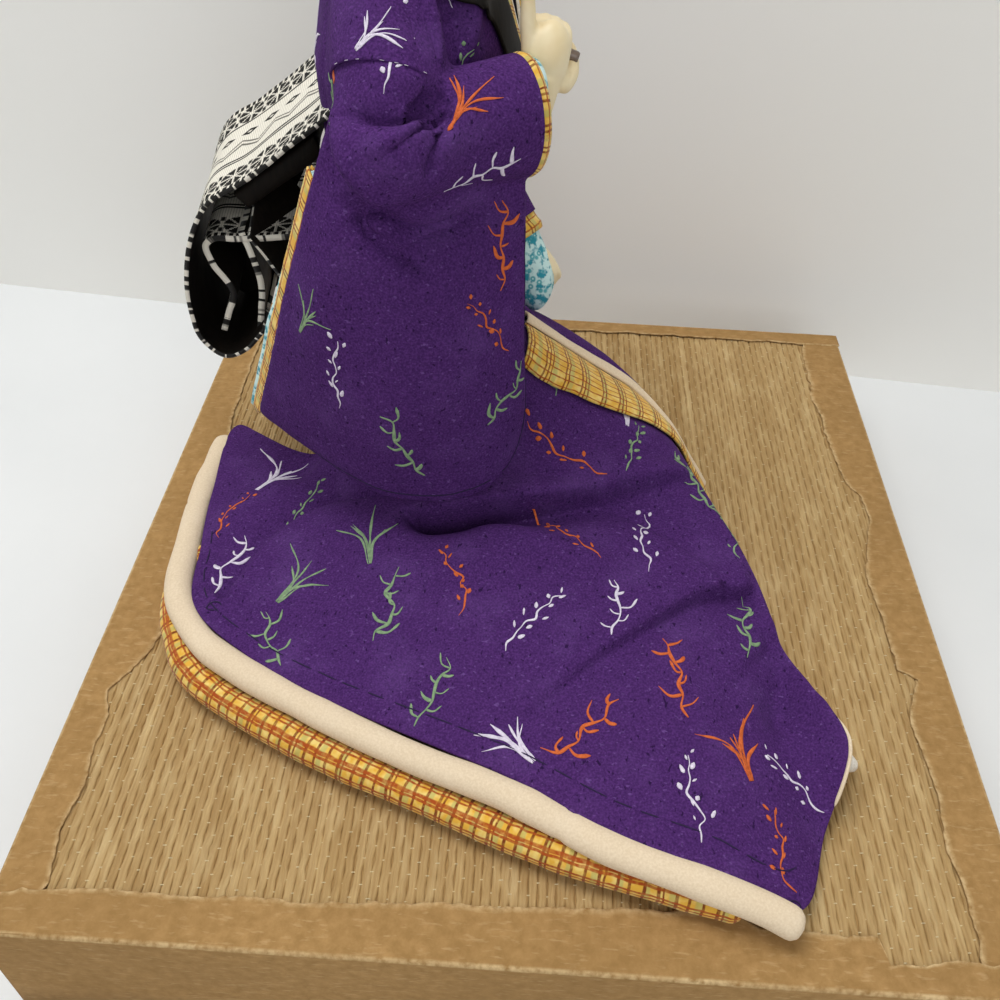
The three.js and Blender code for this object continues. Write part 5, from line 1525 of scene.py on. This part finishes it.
def makeHand(side):
    hand = hands[side]
    curl = hand["curl"]
    shells = [ringPath(evenLine([(0, 0, -16), (0, 0, -6), (0, 0, 3), (0, 0.2, 10)], 1.0),
                       np.interp(evenShares(27), (0, 0.5, 1), (4.4, 4.6, 5.6)), 28, lean=(0, 1, 0)),
              eggShell((0, 0.4, 14.6), (6.6, 5.7, 10.4))]
    for x, drop in hands["knuckles"]:
        points = [(x, 0.2, 15), (x * 0.97, 0.6 + curl, 21.5 - drop),
                  (x * 0.92, 2.4 + curl * 5.0, 25 - curl * 1.6 - drop),
                  (x * 0.88, 3 + curl * 8.2, 26.5 - curl * 6 - drop),
                  (x * 0.85, 3.2 + curl * 7.2, 29.0 - curl * 12.5 - drop)]
        shells.append(fingerShell(points, 2.25, 2.2, (1.08, 0.82)))
    shells.append(fingerShell(hands["thumb"], 2.5, 2.4, (1.1, 0.8)))
    shells = [(placeHand(points, hand), faces) for points, faces in shells]
    if "raised" in hand:
        shells.append(fingerShell(hand["raised"], 2.3, 2.2, (1.15, 0.85)))
    obj = fuseShells(side + "_hand_skin", shells, hands["voxel"], hands["ease"], skin, "hand_" + side)
    setTone(obj, "blush", np.zeros(len(obj.data.vertices)))
    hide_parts(side + "_hand")


makeHand("right")
makeHand("left")

stick = {"tip": (48.6, -24.4, 178.6), "aim": (0.95, -0.05, -0.3), "radius": 1.7, "length": 14.0}


def roundRod(start, end, radius, sides=28):
    path = np.linspace(start, end, 40)
    ease = np.minimum(np.arange(40), np.arange(40)[::-1]) / 1.5
    return ringPath(path, radius * np.clip(0.82 + 0.18 * np.minimum(ease, 1), 0, 1), sides, lean=(0.1, 0.3, 1))


def makeStick():
    tip, aim = np.array(stick["tip"], float), unit(np.array(stick["aim"]))
    points, faces = roundRod(tip - aim * stick["length"], tip, stick["radius"])
    obj = addMesh("stick_rod", points, faces, darkLacquer, "stick")
    pointOut(obj)
    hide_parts("held_stick")


makeStick()

face = {
    "middle": (8, 0, 248), "radii": (23, 20, 25), "neck": (4.0, 10.5, 205.4), "columns": 220, "rows": 170,
    "forms": [  # across, up, spread across, spread up, height; each on both sides unless in the middle
        (0, 246.5, 1.9, 5.5, 1.5), (0, 241.6, 2.1, 2.0, 2.6), (2.0, 240.8, 1.3, 1.3, 0.9),
        (8, 249.2, 4.6, 2.6, -1.4), (8, 248.4, 3.3, 1.5, 1.0),
        (7.5, 254, 5, 2.0, 0.5), (0, 235.9, 2.9, 0.9, 1.0), (0, 233.3, 2.5, 1.0, 1.1), (0, 234.6, 3.6, 0.4, -0.8),
        (0, 227.5, 4, 2.6, 1.1), (10, 240, 5, 5, 0.6), (0, 238.4, 0.9, 1.2, -0.4), (0, 231.2, 2.6, 0.8, -0.5),
    ],
}


def makeHead():
    points, faces = eggShell((0, 0, 0), face["radii"], face["columns"], face["rows"])
    low = np.maximum(0, -points[:, 2] / face["radii"][2])
    jaw = 1 - 0.3 * low ** 2
    points[:, 1] *= jaw
    points[:, 0] = points[:, 0] * jaw + 4 * low ** 2
    points += face["middle"]
    front = smoothStep(points[:, 0], 14, 24)
    for across, up, wide, tall, height in face["forms"]:
        for side in ((1,) if across == 0 else (1, -1)):
            points[:, 0] += front * height * np.exp(-((points[:, 1] - side * across) / wide) ** 2
                                                    - ((points[:, 2] - up) / tall) ** 2)
    middle, radius, foot = face["neck"]
    neck = ringPath([(middle, 0, foot), (middle, 0, foot + 6), (middle, 0, foot + 14), (middle + 1.5, 0, 232),
                     (middle + 3, 0, 242)],
                    [radius * 1.04, radius * 0.95, radius * 0.92, radius * 0.98, radius], 64, lean=(1, 0, 0))
    points, faces = joinShells([(points, faces), neck])
    obj = fuseShells("head_skin", [(points, faces)], 0.62, 3, skin, "head")
    places = vertexPlaces(obj)
    cheek = sum(np.exp(-((places[:, 1] - side * 11) / 5) ** 2 - ((places[:, 2] - 240) / 4.5) ** 2)
                for side in (1, -1))
    setTone(obj, "blush", cheek * smoothStep(places[:, 0], 14, 22) * 0.55)
    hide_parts("head")
    return obj


headSkin = makeHead()


# brush strokes laid on a surface: a path in mm, widths along it, and the piece under it

def brushStroke(tree, path, widths, lift):
    found = [tree.find_nearest(toWorld(place)) for place in path]
    places = np.array([toDoll(spot) for spot, _, _, _ in found])
    normals = unit(np.array([np.array(normal) for _, normal, _, _ in found]))
    side = unit(np.cross(normals, np.gradient(places, axis=0)))
    rows = []
    for share in (-0.5, 0.0, 0.5):  # left edge, middle and right edge
        row = []
        for place, way, width in zip(places, side, widths):
            spot, normal, _, _ = tree.find_nearest(toWorld(place + way * width * share))
            row.append(toDoll(spot) + np.array(normal) * lift)
        rows.append(row)
    grid = np.array(rows).transpose(1, 0, 2)
    return grid, gridFaces(*grid.shape[:2])


def taper(count, full):
    share = evenShares(count)
    return full * np.minimum(np.minimum(0.35 + share / 0.18, 1), 0.25 + (1 - share) / 0.25)


paintThick = 0.14  # in mm


def paintStrokes(name, strokes, finish, body):
    points, faces = joinShells(strokes)
    obj = addMesh(name, points, faces, finish, body)
    thicken(obj, paintThick, 0.0)


def ink(name, text, pale):
    return twoTone(name, (text, pale), 0.7, 900, 3, (0.3, 0.7), (0.06, 0.5), specular=0.25)


def makeFacePaint():
    tree = clothTree(headSkin)

    def strokes(paths):
        made = []
        for line, full in paths:
            for side in (1, -1):
                path = evenLine([(32.0, side * y, z) for y, z in line], 0.35)
                made.append(brushStroke(tree, path, taper(len(path), full), 0.08))
        return made

    dark = [([(4.4, 247.6), (6.6, 249.0), (9.2, 249.2), (12.4, 248.4)], 0.9),
            ([(5.4, 246.7), (8.0, 246.2), (10.8, 247.0)], 0.3),
            ([(7.2, 247.2), (8.2, 248.1), (9.2, 247.4)], 2.0),
            ([(3.8, 254.8), (7.0, 256.6), (10.6, 256.0), (13.0, 254.2)], 1.0)]
    paintStrokes("face_brush_dark", strokes(dark), ink("browInk", "#1d1512", "#33261f"), "head")
    lips = [([(0.2, 236.2), (1.4, 236.7), (2.6, 235.8), (3.5, 234.9)], 1.3),
            ([(0.0, 235.3), (1.6, 235.3), (3.2, 234.9)], 0.9),
            ([(0.0, 233.3), (1.4, 233.4), (2.9, 234.3)], 1.7)]
    paintStrokes("face_brush_red", strokes(lips), ink("lipInk", "#a3241f", "#c0392e"), "head")


makeFacePaint()

hair = {
    "hair_nape": ((-8, 0, 250), (20, 21.5, 25), 2, 76), "hair_side_right": ((3, -15, 256), (20, 12, 19), 0, 44),
    "hair_side_left": ((3, 15, 256), (20, 12, 19), 0, 44), "hair_front": ((14, 0, 269), (17, 19, 12), 0, 60),
    "hair_topknot": ((-9, 0, 280.5), (20, 11, 9.5), 0, 52),
}


def makeHair():
    finish = twoTone("combedHair", ("#0e0b0a", "#2b221d"), 0.34, 1400, 3, (0.35, 0.7), (0.14, 0.8),
                     stretch=(0.12, 1, 0.3), specular=0.55)
    for node, (middle, radii, axis, strands) in hair.items():
        points, faces = eggShell((0, 0, 0), (1, 1, 1), strands * 4, 90)
        order = ((2, 0, 1), (1, 2, 0), (0, 1, 2))[axis]
        turn = np.arctan2(points[:, 1], points[:, 0])
        fade = np.sqrt(np.clip(1 - points[:, 2] ** 2, 0, 1))
        waves = 0.012 * np.sin(strands * turn + 3 * np.sin(2 * points[:, 2])) + 0.02 * np.sin(9 * turn + 1.3)
        comb = 1 + fade * waves
        points = (points * comb[:, None])[:, order] * np.array(radii, float) + middle
        obj = addMesh(node + "_combed", points, faces, finish, "head")
        pointOut(obj)
        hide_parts(node)


makeHair()

trinkets = {
    "comb": (1.0, 273.3, 11.0, 3.0, 1.1), "combEdge": ((0.55, 0.5), (0.25, 0.86), (0.0, 1.0)),
    "pins": ((-11, 4, 272), (-0.1, 0.98, 0.18)), "pinLength": 46.0, "pinRadius": 1.2, "ball": 4.5,
}


def makeTrinkets():
    x, foot, radius, straight, half = trinkets["comb"]
    turn = np.linspace(0, math.pi, 60)
    arch = np.stack([radius * np.cos(turn), foot + straight + radius * np.sin(turn)], axis=1)
    outline = np.concatenate([[(radius, foot)], arch, [(-radius, foot)]])
    edge = [(shrink, half * share) for shrink, share in trinkets["combEdge"]]
    edge += [(shrink, -across) for shrink, across in edge[::-1]]
    middle = np.array((0, foot + 4.0))
    rings = []
    for shrink, across in edge:
        inner = outline + unit(middle - outline) * shrink
        rings.append(np.stack([np.full(len(inner), x + across), inner[:, 0], inner[:, 1]], axis=1))
    rings = np.array(rings)
    count = rings.shape[1]
    faces = gridFaces(len(rings), count, closeColumns=True)
    faces += [tuple(range(count))[::-1], tuple(range(5 * count, 6 * count))]
    comb = addMesh("comb_arch", rings, faces, redLacquer, "comb")
    pointOut(comb)
    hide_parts("hair_comb")
    for side, way in (("right", -1), ("left", 1)):
        tip, aim = (np.array(part, float) * (1, way, 1) for part in trinkets["pins"])
        aim = unit(aim)
        end = tip + aim * trinkets["pinLength"]
        shells = [roundRod(tip, end, trinkets["pinRadius"], 20), eggShell(end, (trinkets["ball"],) * 3, 40, 28)]
        pin = fuseShells("pin_" + side + "_coral", shells, 0.5, 2, coral, "pin_" + side)
        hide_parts("hairpin_" + side)


makeTrinkets()

foot = {
    "line": [(128, -116, 4.2), (139, -130, 5.6), (146, -138, 5.2)], "lift": 0.6,
    "toes": ((2.4, 7.0, 2.5), (-1.9, 6.0, 2.9)),  # place beside the line, reach and radius of the split toes
}


def makeFoot():
    sole = np.array([(x, y, radius + foot["lift"]) for x, y, radius in foot["line"]])
    path = evenLine(list(sole), 0.8)
    radii = np.interp(evenShares(len(path)), (0, 0.55, 1), (4.0, 5.4, 4.4))
    shells = [ringPath(path, radii, 30, (1.05, 0.95))]
    ahead, tip = unit(sole[2] - sole[1]), sole[2]
    for side, reach, radius in foot["toes"]:
        across = np.array((-ahead[1], ahead[0], 0)) * side
        toe = evenLine([tip - ahead * 4 + across * 0.8, tip + across, tip + ahead * reach + across - (0, 0, 1.6)],
                       0.6)
        shells.append(ringPath(toe, roundEnds(toe, radius, 2.4), 24))
    sock = fuseShells("foot_sock", shells, 0.7, 5, whiteCloth)
    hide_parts("right_foot")


makeFoot()
print("hands, head and hair done")


# cuffs and the lining at the open edge of the right sleeve

cuffs = {
    "inside": 8.0, "rows": 9, "sides": 72, "thick": 0.9, "swellAt": (0, 0.4, 0.7, 0.9, 1),
    "swell": (0.97, 0.99, 1.0, 1.06, 1.02), "longSwell": (0.97, 0.98, 0.92, 0.86, 0.78),
    "long": 10.0, "fallsOpen": 0.75,  # a lining longer than this falls open on its far side
}


def openTube(name, rings, finish, node):
    rows, sides = rings.shape[:2]
    obj = addMesh(name, rings, gridFaces(rows, sides, closeColumns=True), finish)
    girth, down = runAlong(rings[0]), runAlong(rings[:, 0])
    setWeave(obj, np.broadcast_to(down[:, None], (rows, sides)), np.broadcast_to(girth[None], (rows, sides)))
    thicken(obj, cuffs["thick"], 0.0)
    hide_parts(node)


def makeCuffs(side):
    sleeve = sleeves[side]
    elbow, wrist = (np.array(sleeve[key], float) for key in ("elbow", "wrist"))
    aim = unit(wrist - elbow)
    wide, tall = sleeve["girth"][2] * sleeve["mouth"][0], sleeve["girth"][2] * sleeve["mouth"][1]
    plaidReach, tealReach, tealPeak = sleeve["lining"]
    rows, sides = cuffs["rows"], cuffs["sides"]
    for cloth, inset, reach, peak, finish, slot in (("plaid", 1.3, plaidReach, 0.0, edgePlaid, "plaid_cloth"),
                                                    ("teal", 2.7, tealReach, tealPeak, tealCloth, "teal_crepe")):
        path = np.array([wrist + aim * step for step in np.linspace(-cuffs["inside"], reach, rows)])
        swell = cuffs["swell"] if reach < cuffs["long"] else cuffs["longSwell"]
        swell = np.interp(evenShares(rows), cuffs["swellAt"], swell)
        points, _ = ringPath(path, [1.0] * rows, sides, ((wide - inset) * swell, (tall - inset) * swell),
                             caps=False)
        rings = points.reshape(rows, sides, 3)
        if reach > cuffs["long"]:
            nearSide = 0.5 - 0.5 * unit(rings - path[:, None])[..., 1]
            back = np.linspace(0, reach, rows)[:, None] * cuffs["fallsOpen"] * (1 - nearSide)
            rings = rings - aim * back[..., None]
        top = smoothStep(rings[..., 2] - wrist[2], 2, tall) * evenShares(rows)[:, None] ** 2
        rings = rings + aim * (peak * top)[..., None]
        rings += (0.25 * softNoise(rings, 8.0, 71))[..., None] * aim
        openTube(side + "_cuff_" + cloth + "_lining", rings, finish, side + "_cuff_" + cloth)


openEdge = {
    "fromRow": 9, "inward": 2, "columns": 12, "thick": 0.7,  # rows of the bag below the crook of the arm
    "bands": [  # cloth, where it starts, how far it shows, finish, slot, gap between its two layers
        ("plaid", -1.5, 3.6, edgePlaid, "plaid_cloth", 1.9), ("teal", -1.0, 5.6, tealCloth, "teal_crepe", 0.7),
    ],
}


def makeOpenEdge():
    grid = bagPlaces(sleeves["right"])
    below = openEdge["fromRow"]
    edge, inner = grid[0, below:], grid[openEdge["inward"], below:]
    out = unit(edge - inner)
    normal = gridNormals(grid)[0, below:]
    down = evenShares(len(edge))[:, None]
    for cloth, start, reach, finish, slot, gap in openEdge["bands"]:
        across = evenShares(openEdge["columns"])
        layers = []
        for way in (1, -1):
            far = reach * (np.clip(0.35 + down * 1.1, 0, 1) if cloth == "teal" else 1.0)
            wave = 0.35 * softNoise(edge, 14.0, 72 + way)[:, None]
            spread = start + (far + wave - start) * across[None]
            belly = way * gap * np.cos(across * 1.2)[None] * np.ones_like(down)
            layers.append(edge[:, None] + out[:, None] * spread[..., None] + normal[:, None] * belly[..., None])
        points, faces = joinShells([(layer, gridFaces(*layer.shape[:2])) for layer in layers])
        obj = addMesh("right_open_edge_" + cloth, points, faces, finish)
        setNap(obj, *layers)
        thicken(obj, openEdge["thick"], 0.0)
        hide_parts("right_sleeve_" + cloth)


makeCuffs("right")
makeCuffs("left")
makeOpenEdge()
print("linings turned out")


# print on the crepe: loose brush-drawn vines, reeds and budding sprays, scattered by chance

motifs = {
    "inks": {"white": ("#cfc4d8", "#e9e2ee"), "orange": ("#bd5527", "#d96d38"), "sage": ("#6f8b68", "#93ab84")},
    "order": ("white", "sage", "white", "orange", "sage", "white", "sage", "orange"),
    "kinds": ("vine", "reed", "spray"), "brush": 1.15, "bend": 0.72, "tries": 4000,
    "up": (0.0, 0.45, 0.9),  # the way most motifs grow
    "cloths": [  # piece, spacing, size, seed, how far the cloth may bend away under a motif
        (skirtCloth, 24.0, 1.0, 91, 3.2), (rightSleeveCloth, 21.0, 0.9, 92, 2.0),
        (leftSleeveCloth, 22.0, 0.9, 93, 2.2),
        (bodiceCloth, 26.0, 0.8, 94, 2.4), (lapCloth, 24.0, 0.9, 95, 3.2),
    ],
}


def wander(rng, length, sway, steps=9):
    # an uneven trailing line, from its root up
    up = np.linspace(-length / 2, length / 2, steps)
    side = np.cumsum(rng.normal(0, sway, steps))
    return np.stack([side - np.linspace(side[0], side[-1], steps), up], axis=1)


def motifLines(kind, rng):
    # strokes as flat points in mm, each with its full width
    lean = rng.choice((-1, 1))
    if kind == "vine":
        stem = wander(rng, rng.uniform(24, 31), 1.5)
        lines = [(stem, 1.0)]
        for at in range(1, 8):
            side, reach = lean * (-1) ** at, rng.uniform(2.5, 6.5)
            root = stem[at]
            lines.append(([root, root + (side * reach * 0.6, 0.4), root + (side * reach, rng.uniform(1.0, 4.5))],
                          rng.uniform(0.7, 1.3)))
        return lines
    if kind == "reed":
        lines = []
        for spread in np.linspace(-0.6, 0.6, 7):
            foot, tilt, length = rng.uniform(-0.9, 0.9), spread + rng.uniform(-0.1, 0.1), rng.uniform(11, 27)
            top = -14 + length * (1 - 0.25 * abs(tilt))
            lines.append(([(foot, -14), (foot + tilt * length * 0.2, -14 + length * 0.55),
                           (foot + tilt * length, top)], rng.uniform(0.6, 1.1)))
        return lines
    stem = wander(rng, rng.uniform(22, 30), 1.2, 12)
    stem[:, 0] += lean * 5.0 * evenShares(12) ** 2
    lines = [(stem, 0.7)]
    for at in range(2, 12):
        bud = stem[at] + (lean * (-1.0) ** at * rng.uniform(0.8, 2.2), rng.uniform(0.4, 1.6))
        lines.append(([bud, bud + (lean * (-1.0) ** at * rng.uniform(0.6, 1.6), rng.uniform(1.0, 2.4))],
                      rng.uniform(1.0, 1.7)))
    return lines


def motifStrokes(tree, place, normal, lines, size, turn, slack, rng):
    up = np.array(motifs["up"])
    up = up - normal * (up @ normal)
    up = unit(up if np.linalg.norm(up) > 0.2 else np.cross(normal, (1.0, 0.0, 0.0)))
    across = np.cross(up, normal)
    up, across = up * math.cos(turn) + across * math.sin(turn), across * math.cos(turn) - up * math.sin(turn)
    strokes = []
    for line, full in lines:
        path = evenLine([place + (across * u + up * v) * size for u, v in line], 0.7)
        for spot in path[::4]:
            _, facing, _, gap = tree.find_nearest(toWorld(spot))
            if gap / mm > slack or np.array(facing) @ normal < motifs["bend"]:
                return []
        # the brush presses and lifts
        press = 0.72 + 0.28 * np.sin(np.arange(len(path)) * 0.7 * rng.uniform(0.35, 0.7) + rng.uniform(0, 6))
        strokes.append(brushStroke(tree, path, taper(len(path), full * size * motifs["brush"]) * press, 0.1))
    return strokes


def printCloth(cloth, spacing, size, seed, slack):
    rng = np.random.default_rng(seed)
    tree = clothTree(cloth)
    faces = cloth.data.polygons
    middles, normals = np.empty(len(faces) * 3), np.empty(len(faces) * 3)
    faces.foreach_get("center", middles)
    faces.foreach_get("normal", normals)
    middles, normals = middles.reshape(-1, 3) / mm - seat, normals.reshape(-1, 3)
    taken, strokes = [], {name: [] for name in motifs["inks"]}
    for at in rng.choice(len(middles), motifs["tries"]):
        place = middles[at]
        if insideCollars(place) or any(np.linalg.norm(place - other) < spacing for other in taken):
            continue
        lines = motifLines(rng.choice(motifs["kinds"]), rng)
        made = motifStrokes(tree, place, normals[at], lines, size * rng.uniform(0.85, 1.15), rng.uniform(-0.9, 0.9),
                            slack, rng)
        if made:
            strokes[motifs["order"][len(taken) % len(motifs["order"])]] += made
            taken.append(place)
    for name, made in strokes.items():
        if made:
            paintStrokes(cloth.name + "_print_" + name, made, printInks[name], doll)
    print(cloth.name, len(taken), "motifs")


printInks = {name: ink("print" + name.capitalize(), text, pale) for name, (text, pale) in motifs["inks"].items()}
for settings in motifs["cloths"]:
    printCloth(*settings)


# sewing: running stitches along the hem, seams of the sleeves, and the cream facing at the skirt's front edge

sewing = {
    "hemRounds": (0.075, 0.415), "hemUp": 0.05, "stitch": (5.0, 9.0), "skip": (2.0, 4.0), "thread": 0.45,
    "armhole": [(-15, -55, 183), (-9.8, -58.4, 185.7), (-2.9, -60.6, 186.9), (3.6, -62.2, 185.5),
                (9.8, -61, 181.1)],
    "facing": (0.452, 0.6), "facingRadius": 0.6, "dots": (3, 11, 17, 29, 36, 41, 52), "dotWidth": 0.14, "seam": 0.5,
    "loops": [((-63, -102, 20), 2.6), ((124, -190, 9), 2.2)],
}


def makeStitches():
    rng = np.random.default_rng(81)
    tree = clothTree(skirtCloth)
    rounds = np.linspace(*sewing["hemRounds"], 700)
    line = skirtAt(rounds, np.full(700, sewing["hemUp"]), np.zeros(700))
    run = runAlong(line)
    strokes, at = [], 0.0
    while at < run[-1] - sewing["stitch"][1]:
        end = at + rng.uniform(*sewing["stitch"])
        want = np.linspace(at, end, 14)
        path = np.stack([np.interp(want, run, line[:, axis]) for axis in range(3)], axis=1)
        strokes.append(brushStroke(tree, path, taper(14, sewing["thread"]), 0.15))
        at = end + rng.uniform(*sewing["skip"])
    for middle, radius in sewing["loops"]:
        turn = np.linspace(0, 5.4, 24)
        path = np.stack([middle[0] + radius * np.cos(turn), middle[1] + 0.7 * radius * np.sin(turn),
                         np.full(24, middle[2])], axis=1)
        strokes.append(brushStroke(tree, path, taper(24, sewing["thread"]), 0.2))
    thread = ink("sewingThread", "#1d1030", "#2d1a47")
    paintStrokes("hem_stitches", strokes, thread, doll)
    for side, cloth in (("right", rightSleeveCloth), ("left", leftSleeveCloth)):
        tree = clothTree(cloth)
        path = evenLine(sleeves[side]["seam"], 0.9)
        seam = brushStroke(tree, path, taper(len(path), sewing["seam"]), 0.1)
        paintStrokes(side + "_sleeve_seam", [seam], thread, doll)
    tree = clothTree(bodiceCloth)
    pale = ink("paleThread", "#d8cfe0", "#efe9f2")
    dots = []
    for way in (1, -1):
        seam = evenLine([np.array(place) * (1, way, 1) for place in sewing["armhole"]], 0.5)
        dots += [brushStroke(tree, seam[at:at + 3], np.full(3, sewing["dotWidth"]), 0.15)
                 for at in sewing["dots"] if at < len(seam) - 3]
    paintStrokes("armhole_stitches", dots, pale, doll)


def makeFacing():
    rounds = np.linspace(*sewing["facing"], 160)
    line = skirtAt(rounds, np.zeros(160), np.zeros(160))
    path = evenLine(line[::8], 1.0)
    points, faces = ringPath(path, roundEnds(path, sewing["facingRadius"], 4.0), 12)
    facing = addMesh("skirt_edge_facing", points, faces, creamCrepe)
    pointOut(facing)


makeStitches()
makeFacing()
print("print and sewing done")


# hard pieces that keep their solid shapes: base boards, seat, post, stake, screws and wires

def woodFinish(name, text, pale, stretch):
    finish, tree, shader = startFinish(name, 0.6, specular=0.3)
    ring = grain(tree, 60, 4, stretch=stretch)
    pore = grain(tree, 900, 2, stretch=stretch)
    colour = tint(tree, text, pale, ring, 0.35, 0.68)
    colour = tint(tree, colour, "#7b5a36", pore, 0.58, 0.7, 0, 0.4)
    wire(tree, shader, colour, pore, 0.12, 0.5)
    return finish


def nodeFinish(names, finish):
    for name in names:
        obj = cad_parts[name]
        obj.data.materials.clear()
        obj.data.materials.append(finish)


steel = twoTone("steel", ("#9a9a98", "#c2c2c0"), 0.35, 800, 3, (0.3, 0.7), (0.05, 0.4), stretch=(1, 1, 0.2),
                metal=1.0)
nodeFinish(["base_panel", "base_side_front", "base_side_back", "base_side_left", "base_side_right"],
           woodFinish("paleBoard", "#b08f63", "#cdb086", (0.15, 1, 1)))
nodeFinish(["seat_block", "body_post", "neck_stake"], woodFinish("seatWood", "#a98657", "#c9a776", (1, 1, 0.12)))
nodeFinish(["seat_screw_1", "seat_screw_2", "right_arm_wire", "left_arm_wire"], steel)
